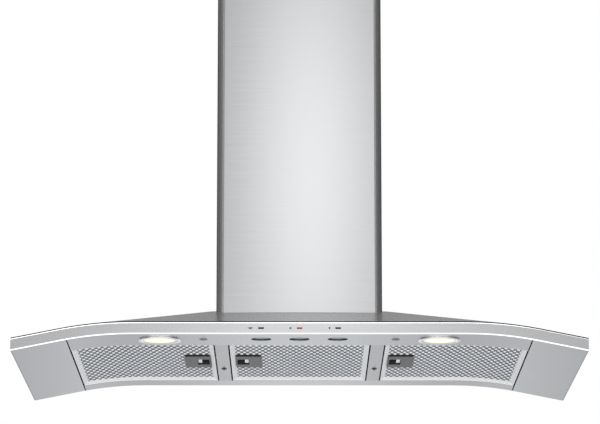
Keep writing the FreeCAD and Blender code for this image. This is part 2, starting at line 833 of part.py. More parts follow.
# Lamps: a chrome bezel through the strip, a lens seated in it, a reflector and a socket.
for name, side in (("left", -1), ("right", 1)):
    x = side * cell.lamp_offset
    y = -cell.canopy_depth + cell.lamp_setback
    outer = cell.lamp_ring_radius
    barrel = cell.lamp_barrel_radius
    lens_radius = cell.lamp_lens_radius
    lens_low = -cell.lamp_lens_drop
    lens_high = lens_low + cell.lamp_lens_thick
    seat = lens_radius + cell.lamp_seat_width
    edge = cell.lamp_ring_edge
    bezel = turned("bezel_" + name, [
        (lens_radius, -cell.lamp_ring_drop),
        (outer - edge, -cell.lamp_ring_drop),
        (outer, -cell.lamp_ring_drop + edge),
        (outer, 0),
        (barrel, 0),
        (barrel, cell.lamp_barrel_height),
        (seat, cell.lamp_barrel_height),
        (seat, lens_high),
        (lens_radius, lens_high),
    ], x, y)
    subpart("lamp_bezel_" + name, bezel)
    lens = turned("lens_" + name, [
        (0, lens_low),
        (lens_radius, lens_low),
        (lens_radius, lens_high),
        (0, lens_high),
    ], x, y)
    subpart("lamp_lens_" + name, lens)
    neck = cell.reflector_neck_radius
    wall = cell.reflector_wall
    reflector_top = lens_high + cell.reflector_height
    reflector = turned("reflector_" + name, [
        (lens_radius - wall, lens_high), (lens_radius + wall, lens_high),
        (neck + wall, reflector_top), (neck - wall, reflector_top),
    ], x, y)
    subpart("lamp_reflector_" + name, reflector)
    socket_top = reflector_top + cell.lamp_socket_height
    terminal_top = socket_top + cell.lamp_terminal_height
    socket = turned("socket_" + name, [
        (0, reflector_top), (cell.lamp_socket_radius, reflector_top), (cell.lamp_socket_radius, socket_top),
        (cell.lamp_terminal_radius, socket_top), (cell.lamp_terminal_radius, terminal_top), (0, terminal_top),
    ], x, y)
    subpart("lamp_socket_" + name, socket)

# Caps: two round plugs in the front strip.
caps = []
for name, side in (("left", -1), ("right", 1)):
    caps.append(turned("strip_cap_" + name, [
        (0, -cell.cap_drop),
        (cell.cap_radius - cell.cap_edge, -cell.cap_drop),
        (cell.cap_radius, -cell.cap_drop + cell.cap_edge),
        (cell.cap_radius, 0),
        (cell.cap_stem_radius, 0),
        (cell.cap_stem_radius, cell.cap_stem_length),
        (0, cell.cap_stem_length),
    ], side * cell.cap_offset, -cell.canopy_depth + cell.cap_setback))
subpart("strip_caps", group("strip_cap_pair", *caps))

# Push buttons: dished round caps that stand back in the strip's holes.
for name, spot in (("left", -1), ("centre", 0), ("right", 1)):
    low = cell.button_recess
    high = low + cell.button_height
    button = turned("button_" + name, [
        (0, low + cell.button_dish),
        (cell.button_radius - 2 * cell.button_rim, low + cell.button_dish),
        (cell.button_radius - cell.button_rim, low),
        (cell.button_radius, low),
        (cell.button_radius, high),
        (0, high),
    ], spot * cell.button_spacing, -cell.canopy_depth + cell.button_setback)
    subpart("push_button_" + name, button)

# Button housing: a moulded block over the strip with a bore for each button and a board above.
BUTTON_Y = -cell.canopy_depth + cell.button_setback
long = cell.housing_half_length
wide = cell.housing_half_width
wall = cell.housing_wall
housing_case = block("housing_case", (-long, long), (BUTTON_Y - wide, BUTTON_Y + wide),
                     (cell.sheet, cell.housing_height))
board_room = block(
    "housing_room",
    (-long + wall, long - wall),
    (BUTTON_Y - wide + wall, BUTTON_Y + wide - wall),
    (cell.housing_floor, cell.housing_height - wall),
)
bores = []
for name, spot in (("left", -1), ("centre", 0), ("right", 1)):
    radius = cell.button_radius + cell.button_clearance
    length = cell.housing_floor - cell.sheet + 2 * cell.sheet
    bores.append(rod("housing_bore_" + name, radius, length, spot * cell.button_spacing, BUTTON_Y, 0))
subpart("button_housing", cut("housing_shell", housing_case, board_room, *bores))
board = block(
    "board",
    (-long + wall + cell.board_gap, long - wall - cell.board_gap),
    (BUTTON_Y - wide + wall + cell.board_gap, BUTTON_Y + wide - wall - cell.board_gap),
    (cell.housing_floor, cell.housing_floor + cell.board_thick),
)
relay = rod("board_relay", cell.relay_radius, cell.relay_height, cell.relay_offset, BUTTON_Y,
            cell.housing_floor + cell.board_thick)
subpart("control_board", fused("board_with_relay", board, relay))

# Grease filters: a bevelled frame with two pivots and a perforated mesh.
for name, side, latch_end, pivot_end in FILTERS:
    low, high = sorted((latch_end, pivot_end))
    top = mm.filter_thickness
    rim = mm.filter_rim
    rail = [(0, 0), (mm.filter_edge_flat, 0), (rim, mm.filter_recess), (rim, top), (0, top)]
    front_rail = arch_sweep([(FILTER_FRONT + run, rise) for run, rise in rail], low, high)
    back_rail = arch_sweep([(FILTER_BACK - run, rise) for run, rise in rail], low, high)
    frame = front_rail.fuse(back_rail)
    side_outline = [(FILTER_FRONT, 0), (FILTER_BACK, 0), (FILTER_BACK, top), (FILTER_FRONT, top)]
    for end, inward in ((low, 1), (high, -1)):
        near, far = sorted((end, end + inward * rim))
        stile = arch_sweep(side_outline, near, far)
        wedge = arch_bar([
            (end + inward * mm.filter_edge_flat, 0),
            (end + inward * rim, mm.filter_recess),
            (end + inward * (rim + mm.overrun), mm.filter_recess),
            (end + inward * (rim + mm.overrun), -mm.overrun),
            (end + inward * mm.filter_edge_flat, -mm.overrun),
        ], FILTER_FRONT - mm.overrun, FILTER_BACK + mm.overrun)
        frame = frame.fuse(stile.cut(wedge))
    x, z = pivot_place(side, pivot_end)
    pivot_length = mm.filter_end_gap + mm.sheet + mm.pivot_overhang
    for y, way in ((FILTER_FRONT, -1), (FILTER_BACK, 1)):
        frame = frame.fuse(round_cut(mm.pivot_radius, x, y, z, pivot_length, V(0, way, 0)))
    shaped("filter_frame_" + name, frame.removeSplitter())

    mesh_low = mm.filter_recess
    mesh_high = mesh_low + mm.mesh_thickness
    mesh_outline = [
        (FILTER_FRONT + rim, mesh_low), (FILTER_BACK - rim, mesh_low),
        (FILTER_BACK - rim, mesh_high), (FILTER_FRONT + rim, mesh_high),
    ]
    mesh = arch_sweep(mesh_outline, low + rim, high - rim)
    tray_near, tray_far = sorted((latch_end + side * mm.tray_start, latch_end + side * mm.tray_end))
    tray_front = FILTER_MIDDLE - mm.tray_half_length
    tray_back = FILTER_MIDDLE + mm.tray_half_length
    tools = [box_shape(tray_near, tray_far, tray_front, tray_back, 0, mm.filter_thickness)]
    pitch = mm.mesh_pitch
    row_pitch = pitch * math.sqrt(3) / 2
    reach = mm.mesh_hole_radius + mm.mesh_margin
    rows = int((FILTER_BACK - FILTER_FRONT - 2 * rim - 2 * reach) / row_pitch)
    columns = int((high - low - 2 * rim - 2 * reach) / pitch)
    for row in range(rows + 1):
        y = FILTER_MIDDLE + (row - rows / 2) * row_pitch
        for column in range(columns + row % 2):
            x = (low + high) / 2 + (column - (columns - 1 + row % 2) / 2) * pitch
            clear_x = x + reach < tray_near or x - reach > tray_far
            clear_y = y + reach < tray_front or y - reach > tray_back
            if clear_x or clear_y:
                level = arch_point(x, mesh_low)[1] - mm.overrun
                depth = mm.mesh_thickness + 3 * mm.overrun
                tools.append(round_cut(mm.mesh_hole_radius, x, y, level, depth, UPWARD))
    shaped("filter_mesh_" + name, mesh.cut(Part.makeCompound(tools)))

# Handle of each filter, all on the flat of the arch: tray with a finger well, latch and spring.
MIDDLE = (cell.rear_strip_depth + cell.canopy_depth - cell.front_strip_depth) / -2
LATCH_OUT = cell.crossbar_offset + cell.crossbar_width / 2 + cell.filter_side_gap
LATCH_IN = cell.crossbar_offset - cell.crossbar_width / 2 - cell.filter_side_gap


def span_from(start, side):
    """Gives the x range between two distances from a filter's latch end."""
    if side < 0:
        return lambda near, far: (start - far, start - near)
    return lambda near, far: (start + near, start + far)


for name, side, start in (("left", -1, -LATCH_OUT), ("centre", 1, -LATCH_IN), ("right", 1, LATCH_OUT)):
    span = span_from(start, side)
    middle = MIDDLE
    face = cell.tray_face
    thick = cell.tray_sheet
    long = cell.tray_half_length
    well = cell.well_half_length
    tray_case = block("tray_case_" + name, span(cell.tray_start, cell.tray_end),
                      (middle - long, middle + long), (face, cell.tray_top))
    tray_room = block("tray_room_" + name, span(cell.tray_start + thick, cell.tray_end - thick),
                      (middle - long + thick, middle + long - thick), (face + thick, cell.tray_top))
    well_case = block("well_case_" + name, span(cell.well_start - thick, cell.well_back + thick),
                      (middle - well - thick, middle + well + thick), (face, cell.well_height))
    well_room = block("well_room_" + name, span(cell.well_start, cell.well_back),
                      (middle - well, middle + well), (face + thick, cell.well_height - thick))
    window = block("well_window_" + name, span(cell.well_start, cell.well_end),
                   (middle - well, middle + well), (0, face + 2 * thick))
    bar_low = cell.tray_top + cell.latch_clearance
    bar_high = bar_low + cell.latch_bar_thick
    bar_half = cell.latch_bar_half_width
    slot = block("bolt_slot_" + name, span(cell.tray_start, cell.well_start + thick),
                 (middle - bar_half - cell.latch_clearance, middle + bar_half + cell.latch_clearance),
                 (bar_low - cell.latch_clearance, bar_high + cell.latch_clearance))
    tray = fused("tray_body_" + name, cut("tray_walls_" + name, tray_case, tray_room), well_case)
    subpart("handle_tray_" + name, cut("tray_shell_" + name, tray, well_room, window, slot))

    tab = block("latch_tab_" + name, span(cell.latch_tab_start, cell.latch_tab_start + cell.latch_tab_thick),
                (middle - cell.latch_tab_half_length, middle + cell.latch_tab_half_length),
                (face + thick + cell.latch_clearance, cell.well_height - thick - cell.latch_clearance))
    bolt = block("latch_bolt_" + name, span(cell.latch_tip_gap - cell.filter_side_gap, cell.latch_tab_start),
                 (middle - bar_half, middle + bar_half), (bar_low, bar_high))
    subpart("latch_" + name, fused("latch_body_" + name, tab, bolt))
    spring_start, spring_end = span(cell.latch_tab_start + cell.latch_tab_thick, cell.well_back)
    spring_level = (bar_low + cell.well_height - thick) / 2
    coil = rod("spring_coil_" + name, cell.spring_radius, spring_end - spring_start, spring_start, middle,
               spring_level, "X")
    coil_bore = rod("spring_bore_" + name, cell.spring_bore, spring_end - spring_start, spring_start, middle,
                    spring_level, "X")
    subpart("latch_spring_" + name, cut("spring_tube_" + name, coil, coil_bore))

# Chimney covers: folded sheets with bevelled front corners, the upper one inside the lower.
BEVEL = hypotenuse(cell.chimney_bevel_width, cell.chimney_bevel_depth)
SIDE_SHIFT = (BEVEL - cell.chimney_bevel_depth) / cell.chimney_bevel_width
FRONT_SHIFT = (BEVEL - cell.chimney_bevel_width) / cell.chimney_bevel_depth


def cover_points(inset):
    """One side of the cover's plan, from the wall to the front, moved in by the inset."""
    half = cell.chimney_half_width
    depth = cell.chimney_depth
    return [
        (half - inset, 0),
        (half - inset, -(depth - cell.chimney_bevel_depth) + SIDE_SHIFT * inset),
        (half - cell.chimney_bevel_width - FRONT_SHIFT * inset, -depth + inset),
    ]


def cover_body(label, inset, bottom, top):
    body = doc.addObject("PartDesign::Body", label)
    plan = sketch_on(body, "XY_Plane", label + "_plan")
    outside = cover_points(formula(inset))
    inside_points = cover_points(formula(inset) + cell.chimney_sheet)
    left_out = [(-x, y) for x, y in outside]
    left_in = [(-x, y) for x, y in inside_points]
    draw(plan, outside + left_out[::-1] + left_in + inside_points[::-1])
    pad(body, label + "_run", plan, top - bottom)
    place(body, 0, 0, bottom)
    return body


RIDGE_Y = -cell.canopy_depth + cell.ridge_setback
RISE = cell.plateau_height - cell.band_height - cell.shadow_gap - cell.skin
FALL = RISE / (cell.ridge_setback - cell.skin_setback)
cover_low = cell.plateau_height - FALL * (cell.chimney_depth + RIDGE_Y)
lower = cover_body("chimney_lower", 0, cover_low, cell.chimney_top)
foot = sketch_on(lower, "YZ_Plane", "chimney_foot_sketch")
foot_front = -cell.chimney_depth - cell.overrun
draw(foot, [
    (cell.overrun, -cell.overrun),
    (cell.overrun, cell.plateau_height - cover_low),
    (RIDGE_Y, cell.plateau_height - cover_low),
    (foot_front, cell.plateau_height - cover_low + FALL * (foot_front - RIDGE_Y)),
    (foot_front, -cell.overrun * 2),
])
pocket(lower, "chimney_foot", foot, 3 * cell.chimney_half_width, symmetric=True)
subpart("chimney_lower", lower)
UPPER_INSET = cell.chimney_sheet + cell.chimney_gap
subpart("chimney_upper", cover_body("chimney_upper", UPPER_INSET, cell.upper_bottom, cell.upper_top))

# Upper bracket: holds the upper cover to the wall, with an ear against each side of the cover.
ear = cell.chimney_half_width - UPPER_INSET - cell.chimney_sheet
bracket_z = (cell.upper_top - cell.bracket_drop - cell.bracket_height, cell.upper_top - cell.bracket_drop)
strap = block("bracket_strap", (-ear, ear), (-cell.bracket_sheet, 0), bracket_z)
ear_left = block("bracket_ear_left", (-ear, -ear + cell.bracket_sheet), (-cell.bracket_reach, 0), bracket_z)
ear_right = block("bracket_ear_right", (ear - cell.bracket_sheet, ear), (-cell.bracket_reach, 0), bracket_z)
bracket = fused("bracket_body", strap, ear_left, ear_right)
bracket_holes = []
for name, side in (("left", -1), ("right", 1)):
    bracket_holes.append(rod(
        "bracket_hole_" + name, cell.bracket_hole_radius, 2 * cell.overrun + cell.bracket_sheet,
        side * cell.bracket_hole_spacing / 2, -cell.bracket_sheet - cell.overrun,
        (bracket_z[0] + bracket_z[1]) / 2, "Y",
    ))
subpart("upper_bracket", cut("bracket_drilled", bracket, *bracket_holes))

# Motor box: a sheet box open at the bottom, with a wall plate that takes the four fixings.
half = cell.box_half_width
thin = cell.box_sheet
DUCT_Y = -cell.duct_setback
box_case = block("box_case", (-half, half), (-cell.box_depth, 0), (cell.plateau_height, cell.box_top))
plate = block("wall_plate", (-cell.plate_half_width, cell.plate_half_width), (-cell.plate_sheet, 0),
              (cell.plateau_height, cell.plate_top))
box_room = block("box_room", (-half + thin, half - thin), (-cell.box_depth + thin, -cell.plate_sheet),
                 (cell.plateau_height - cell.overrun, cell.box_top - thin))
box_hole = rod("box_outlet", cell.spigot_radius - cell.spigot_wall, 2 * cell.overrun, 0, DUCT_Y,
               cell.box_top - cell.overrun)
fixings = []
for across in (-1, 1):
    for up in (-1, 1):
        fixings.append(rod(
            "fixing_hole", cell.fixing_hole_radius, 2 * cell.overrun + cell.plate_sheet,
            across * cell.fixing_spacing_wide / 2, -cell.plate_sheet - cell.overrun,
            cell.fixing_height + up * cell.fixing_spacing_high / 2, "Y",
        ))
subpart("motor_box", cut("box_shell", fused("box_and_plate", box_case, plate), box_room, box_hole, *fixings))

# Outlet collar: a square flange on the motor box and a spigot that stands on it, with a pin for
# the flaps and a stop under them.
spigot = cell.spigot_radius
bore = spigot - cell.spigot_wall
base = cell.box_top
collar_wide = cell.collar_half_width
collar_plate = block("collar_plate", (-collar_wide, collar_wide),
                     (DUCT_Y - collar_wide, DUCT_Y + collar_wide), (base, base + cell.collar_sheet))
collar_mouth = rod("collar_mouth", bore, cell.collar_sheet + 2 * cell.overrun, 0, DUCT_Y, base - cell.overrun)
subpart("collar_flange", cut("collar_flange_cut", collar_plate, collar_mouth))
collar_tube = rod("collar_tube", spigot, cell.spigot_height - cell.collar_sheet, 0, DUCT_Y,
                  base + cell.collar_sheet)
collar_bore = rod("collar_bore", bore, cell.spigot_height + 2 * cell.overrun, 0, DUCT_Y, base - cell.overrun)
collar_shell = cut("collar_shell", collar_tube, collar_bore)
FLAP_Z = base + cell.flap_level
stop_top = FLAP_Z - cell.flap_sheet / 2 - cell.flap_stop_gap
stop_solid = rod("flap_stop_solid", bore + cell.spigot_wall / 2, cell.flap_stop_height, 0, DUCT_Y,
                 stop_top - cell.flap_stop_height)
stop_bore = rod("flap_stop_bore", bore - cell.flap_stop_width, cell.flap_stop_height + 2 * cell.overrun,
                0, DUCT_Y, stop_top - cell.flap_stop_height - cell.overrun)
flap_stop = cut("flap_stop", stop_solid, stop_bore)
pin_length = 2 * bore + cell.spigot_wall
flap_pin = rod("flap_pin", cell.flap_pin_radius, pin_length, 0, DUCT_Y - pin_length / 2, FLAP_Z, "Y")
subpart("outlet_collar", fused("collar_complete", collar_shell, flap_stop, flap_pin))

# Flaps: half discs that share the pin, each with two knuckles set between the other's.
for name, side in (("left", -1), ("right", 1)):
    disc = rod("flap_disc_" + name, bore - cell.flap_gap, cell.flap_sheet, 0, DUCT_Y,
               FLAP_Z - cell.flap_sheet / 2)
    ends = sorted((side * cell.flap_root, side * spigot), key=lambda edge: edge.value)
    half_room = block("flap_half_" + name, ends, (DUCT_Y - spigot, DUCT_Y + spigot),
                      (FLAP_Z - cell.flap_sheet, FLAP_Z + cell.flap_sheet))
    pieces = [common("flap_leaf_" + name, disc, half_room)]
    for middle in (side * cell.flap_knuckle_near, -side * cell.flap_knuckle_far):
        y_low = DUCT_Y + middle - cell.flap_knuckle_length / 2
        pieces.append(rod("flap_knuckle_" + name, cell.flap_knuckle_radius, cell.flap_knuckle_length,
                          0, y_low, FLAP_Z, "Y"))
        root = sorted((formula(0), side * (cell.flap_root + cell.flap_sheet)), key=lambda edge: edge.value)
        pieces.append(block("flap_tab_" + name, root, (y_low, y_low + cell.flap_knuckle_length),
                            (FLAP_Z - cell.flap_sheet / 2, FLAP_Z + cell.flap_sheet / 2)))
    flap_bore = rod("flap_bore_" + name, cell.flap_pin_radius + cell.flap_pin_clearance, 2 * spigot, 0,
                    DUCT_Y - spigot, FLAP_Z, "Y")
    subpart("flap_" + name, cut("flap_drilled_" + name, fused("flap_solid_" + name, *pieces), flap_bore))

# Blower housing: a drum with an outlet up to the box top and a round inlet in each side.
BLOWER_Z = cell.blower_level
width = cell.scroll_width
skin_wall = cell.scroll_wall
scroll_front = DUCT_Y - width / 2
drum = rod("scroll_drum", cell.scroll_radius, width, cell.scroll_offset, scroll_front, BLOWER_Z, "Y")
chute_right = cell.scroll_offset + cell.scroll_radius
chute = block("scroll_chute", (0, chute_right), (scroll_front, scroll_front + width),
              (BLOWER_Z, cell.box_top - thin))
drum_room = rod("scroll_drum_room", cell.scroll_radius - skin_wall, width - 2 * skin_wall, cell.scroll_offset,
                scroll_front + skin_wall, BLOWER_Z, "Y")
chute_room = block("scroll_chute_room", (skin_wall, chute_right - skin_wall),
                   (scroll_front + skin_wall, scroll_front + width - skin_wall), (BLOWER_Z, cell.box_top))
inlets = rod("scroll_inlets", cell.inlet_radius, width + 2 * cell.overrun, 0, scroll_front - cell.overrun,
             BLOWER_Z, "Y")
scroll_solid = fused("scroll_solid", drum, chute)
subpart("blower_housing", cut("scroll_shell", scroll_solid, drum_room, chute_room, inlets))

# Inlet rings: a flange outside each side of the housing, with a lip into the inlet.
rings = []
for name, way in (("front", -1), ("back", 1)):
    face = cell.inlet_ring_thick
    inner = cell.inlet_radius - cell.inlet_ring_wall
    ring_body = turned("inlet_ring_" + name, [
        (inner, -way * cell.inlet_lip),
        (cell.inlet_radius, -way * cell.inlet_lip),
        (cell.inlet_radius, 0),
        (cell.inlet_ring_radius, 0),
        (cell.inlet_ring_radius, way * face),
        (inner, way * face),
    ], 0, DUCT_Y + way * width / 2, BLOWER_Z, tilt=True)
    rings.append(ring_body)
subpart("inlet_rings", group("inlet_ring_pair", *rings))

# Impeller: a centre disc and hub, blades through both sides and a ring round each end.
impeller = doc.addObject("PartDesign::Body", "impeller")
shaft_hole = cell.shaft_radius + cell.shaft_clearance
disc_sketch = sketch_on(impeller, "XZ_Plane", "impeller_disc_sketch")
ring(disc_sketch, 0, 0, cell.impeller_radius, shaft_hole)
pad(impeller, "impeller_disc", disc_sketch, cell.impeller_disc, symmetric=True)
hub_sketch = sketch_on(impeller, "XZ_Plane", "impeller_hub_sketch")
ring(hub_sketch, 0, 0, cell.hub_radius, shaft_hole)
pad(impeller, "impeller_hub", hub_sketch, cell.hub_length)
blade_sketch = sketch_on(impeller, "XZ_Plane", "impeller_blade_sketch")
blade_in = cell.impeller_radius - cell.blade_depth
blade_out = cell.impeller_radius - cell.blade_thick
draw(blade_sketch, [
    (blade_in, -cell.blade_thick / 2), (blade_out, -cell.blade_thick / 2),
    (blade_out, cell.blade_thick / 2), (blade_in, cell.blade_thick / 2),
])
blade = pad(impeller, "impeller_blade", blade_sketch, cell.impeller_width, symmetric=True)
blades = impeller.newObject("PartDesign::PolarPattern", "impeller_blades")
blades.Originals = [blade]
blades.Axis = (blade_sketch, ["N_Axis"])
blades.Angle = 360.0
blades.Occurrences = int(mm.blade_count)
impeller.Tip = blades
for name, way in (("front", 1), ("back", -1)):
    end_sketch = sketch_on(impeller, "XZ_Plane", "impeller_ring_sketch_" + name)
    bind(end_sketch, ".AttachmentOffset.Base.z", way * cell.impeller_width / 2)
    ring(end_sketch, 0, 0, cell.impeller_radius, blade_in)
    pad(impeller, "impeller_ring_" + name, end_sketch, cell.impeller_ring_width, backwards=way > 0)
place(impeller, 0, DUCT_Y, BLOWER_Z)
subpart("impeller", impeller)

# Blower motor: a can with rounded ends, inside the back half of the impeller, and its shaft.
motor_front = cell.impeller_disc / 2 + cell.motor_gap
motor_back = width / 2 + cell.motor_overhang
shaft_front = -cell.hub_length - cell.shaft_overhang
motor = turned("motor", [
    (0, shaft_front),
    (cell.shaft_radius, shaft_front),
    (cell.shaft_radius, motor_front),
    (cell.motor_radius - cell.motor_edge, motor_front),
    (cell.motor_radius, motor_front + cell.motor_edge),
    (cell.motor_radius, motor_back),
    (0, motor_back),
], 0, DUCT_Y, BLOWER_Z, tilt=True)
subpart("blower_motor", motor)

# Motor mount: a ring round the motor with three arms to the side of the blower housing.
MOUNT_ANGLES = (30, 150, 270)
mount_low = DUCT_Y + width / 2 + cell.inlet_ring_thick
mount_ring = rod("mount_ring_solid", cell.motor_radius + cell.mount_ring_wall, cell.mount_thick, 0, mount_low,
                 BLOWER_Z, "Y")
mount_pieces = [mount_ring]
for turn in MOUNT_ANGLES:
    arm = doc.addObject("Part::Box", "mount_arm")
    bind(arm, "Length", cell.mount_reach)
    bind(arm, "Width", cell.mount_thick)
    bind(arm, "Height", cell.mount_arm_width)
    foot_block = doc.addObject("Part::Box", "mount_foot")
    bind(foot_block, "Length", cell.mount_pad)
    bind(foot_block, "Width", cell.mount_thick + cell.inlet_ring_thick)
    bind(foot_block, "Height", cell.mount_arm_width)
    bind(foot_block, ".Placement.Base.x", cell.mount_reach - cell.mount_pad)
    bind(foot_block, ".Placement.Base.y", -cell.inlet_ring_thick)
    leg = fused("mount_leg", arm, foot_block)
    leg.Placement.Rotation = FreeCAD.Rotation(V(0, 1, 0), turn)
    place(leg, 0, mount_low, BLOWER_Z)
    mount_pieces.append(leg)
mount_bore = rod("mount_bore", cell.motor_radius, 2 * cell.mount_thick + 2 * cell.overrun, 0,
                 mount_low - cell.overrun, BLOWER_Z, "Y")
subpart("motor_mount", cut("mount_bored", fused("mount_solid", *mount_pieces), mount_bore))

# Capacitor: an upright can with its terminal cap, strapped to the front of the motor box.
capacitor = turned("capacitor_can", [
    (0, 0),
    (cell.capacitor_radius, 0),
    (cell.capacitor_radius, cell.capacitor_height),
    (cell.capacitor_cap_radius, cell.capacitor_height),
    (cell.capacitor_cap_radius, cell.capacitor_height + cell.capacitor_cap_height),
    (0, cell.capacitor_height + cell.capacitor_cap_height),
], cell.capacitor_offset, -cell.box_depth - cell.capacitor_radius, cell.capacitor_level)
subpart("capacitor", capacitor)

# Electronics box: a moulded cover on the front of the motor box, with the mains gland on top.
supply_case = block(
    "supply_case",
    (cell.supply_left, cell.supply_right),
    (-cell.box_depth - cell.supply_depth, -cell.box_depth),
    (cell.supply_bottom, cell.supply_top),
)
supply_room = block(
    "supply_room",
    (cell.supply_left + cell.supply_wall, cell.supply_right - cell.supply_wall),
    (-cell.box_depth - cell.supply_depth + cell.supply_wall, -cell.box_depth + cell.overrun),
    (cell.supply_bottom + cell.supply_wall, cell.supply_top - cell.supply_wall),
)
gland_x = (cell.supply_left + cell.supply_right) / 2
gland_y = -cell.box_depth - cell.supply_depth / 2
gland_hole = rod("gland_hole", cell.gland_radius, 2 * cell.overrun + cell.supply_wall, gland_x, gland_y,
                 cell.supply_top - cell.supply_wall - cell.overrun)
subpart("electronics_box", cut("supply_shell", supply_case, supply_room, gland_hole))
gland = turned("gland", [
    (cell.gland_bore, -cell.supply_wall),
    (cell.gland_radius, -cell.supply_wall),
    (cell.gland_radius, 0),
    (cell.gland_nut_radius, 0),
    (cell.gland_nut_radius, cell.gland_nut_height),
    (cell.gland_radius - cell.gland_seat, cell.gland_nut_height),
    (cell.gland_bore + cell.gland_seat, cell.gland_height),
    (cell.gland_bore, cell.gland_height),
], gland_x, gland_y, cell.supply_top)
subpart("cable_gland", gland)

doc.recompute()

faults = []
for thing in doc.Objects:
    if "Invalid" in thing.State or "Error" in thing.State:
        faults.append("%s is %s" % (thing.Name, thing.State))
for thing in SUBPARTS:
    if thing.Shape.isNull() or not thing.Shape.isValid():
        faults.append("%s has no valid shape" % thing.Label)
if faults:
    raise RuntimeError("; ".join(faults))

os.makedirs("parts", exist_ok=True)
for thing in SUBPARTS:
    thing.Shape.exportStep("parts/%s.step" % thing.Label)
    solids = thing.Shape.Solids
    print("%-24s %2d solids %12.1f mm3" % (thing.Label, len(solids), thing.Shape.Volume))
print(len(SUBPARTS), "pieces")
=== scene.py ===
# A wall-mounted chimney hood: arched stainless canopy, three grease filters, two lamps, three push
# buttons and a two-part duct cover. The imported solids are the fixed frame. This script gives them
# their finish and adds the pieces that need finer shapes.
import math

import bmesh
import bpy
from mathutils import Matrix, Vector


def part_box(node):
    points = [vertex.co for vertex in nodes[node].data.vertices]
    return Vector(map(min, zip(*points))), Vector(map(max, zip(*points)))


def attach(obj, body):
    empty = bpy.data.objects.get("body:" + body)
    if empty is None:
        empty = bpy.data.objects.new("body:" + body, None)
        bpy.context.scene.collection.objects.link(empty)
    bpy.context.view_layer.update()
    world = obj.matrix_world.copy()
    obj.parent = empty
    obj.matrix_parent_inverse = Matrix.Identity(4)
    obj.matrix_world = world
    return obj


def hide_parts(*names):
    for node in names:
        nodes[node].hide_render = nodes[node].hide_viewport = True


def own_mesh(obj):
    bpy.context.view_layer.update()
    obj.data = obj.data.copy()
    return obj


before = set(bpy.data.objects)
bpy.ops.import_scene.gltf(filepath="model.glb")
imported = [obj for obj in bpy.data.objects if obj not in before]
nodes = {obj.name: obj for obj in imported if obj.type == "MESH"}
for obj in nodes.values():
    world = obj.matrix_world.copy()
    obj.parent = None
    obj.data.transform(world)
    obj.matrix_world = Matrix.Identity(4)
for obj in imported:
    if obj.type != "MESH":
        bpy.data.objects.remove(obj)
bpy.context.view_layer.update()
bpy.context.scene.view_settings.view_transform = "Standard"

# Camera: stands below the hood and far in front of it, as in the photograph. The long lens keeps
# the duct cover's sides nearly upright.
CAMERA_PLACE = (-0.0105, -5.5695, -1.1223)
LOOK_UP = 12.204
LOOK_ASIDE = -0.126
LENS_LENGTH = 198.4
SENSOR_WIDE = 36
bpy.ops.object.camera_add(
    location=CAMERA_PLACE,
    rotation=(math.radians(90 + LOOK_UP), 0, math.radians(LOOK_ASIDE)),
)
camera = bpy.context.object
camera.data.lens = LENS_LENGTH
camera.data.sensor_width = SENSOR_WIDE
camera.data.clip_end = 60
bpy.context.scene.camera = camera

# Studio: a white room. The camera, gloss and glass see it white, and the rest of its light is
# plain and even.
studio = bpy.data.worlds.new("white_studio")
studio.use_nodes = True
bpy.context.scene.world = studio
parts = studio.node_tree.nodes
links = studio.node_tree.links
parts["Background"].inputs["Color"].default_value = (1, 1, 1, 1)
ray = parts.new("ShaderNodeLightPath")
seen = parts.new("ShaderNodeMath")
seen.operation = "MAXIMUM"
shown = parts.new("ShaderNodeMath")
shown.operation = "MAXIMUM"
level = parts.new("ShaderNodeMapRange")
level.inputs["To Min"].default_value = 0.85
level.inputs["To Max"].default_value = 1.0
links.new(ray.outputs["Is Camera Ray"], seen.inputs[0])
links.new(ray.outputs["Is Glossy Ray"], seen.inputs[1])
links.new(seen.outputs[0], shown.inputs[0])
links.new(ray.outputs["Is Transmission Ray"], shown.inputs[1])
links.new(shown.outputs[0], level.inputs["Value"])
links.new(level.outputs["Result"], parts["Background"].inputs["Strength"])

# Floor: the pale floor of the room, a worktop's height and more below the hood. From underneath it
# is clear, so that the hood can be looked at from below.
FLOOR_LEVEL = -1.62
FLOOR_WIDE = 24
bpy.ops.mesh.primitive_plane_add(size=FLOOR_WIDE, location=(0, 0, FLOOR_LEVEL))
floor = bpy.context.object
floor.name = "studio_floor"
pale = bpy.data.materials.new("pale_floor")
pale.use_nodes = True
tree = pale.node_tree
shader = tree.nodes["Principled BSDF"]
shader.inputs["Base Color"].default_value = (0.72, 0.72, 0.72, 1)
shader.inputs["Roughness"].default_value = 0.7
clear = tree.nodes.new("ShaderNodeBsdfTransparent")
either = tree.nodes.new("ShaderNodeMixShader")
side_seen = tree.nodes.new("ShaderNodeNewGeometry")
tree.links.new(side_seen.outputs["Backfacing"], either.inputs["Fac"])
tree.links.new(shader.outputs["BSDF"], either.inputs[1])
tree.links.new(clear.outputs["BSDF"], either.inputs[2])
tree.links.new(either.outputs["Shader"], tree.nodes["Material Output"].inputs["Surface"])
floor.data.materials.append(pale)


# Lights: two broad soft lamps, one from the front and one from above. The front one shows in no
# gloss, where it would leave a bright patch.
def soft_lamp(name, place, aim, width, height, power):
    bpy.ops.object.light_add(type="AREA", location=place)
    lamp = bpy.context.object
    lamp.name = name
    lamp.data.shape = "RECTANGLE"
    lamp.data.size = width
    lamp.data.size_y = height
    lamp.data.energy = power
    lamp.rotation_euler = (Vector(aim) - Vector(place)).to_track_quat("-Z", "Y").to_euler()
    lamp.visible_camera = False
    return lamp


front_light = soft_lamp("front_light", (0.3, -5.0, -0.75), (0, -0.3, -0.2), 2.4, 1.0, 34)
front_light.visible_glossy = False
soft_lamp("top_light", (-0.4, -1.6, 2.8), (0, -0.3, 0), 3.0, 1.4, 18)


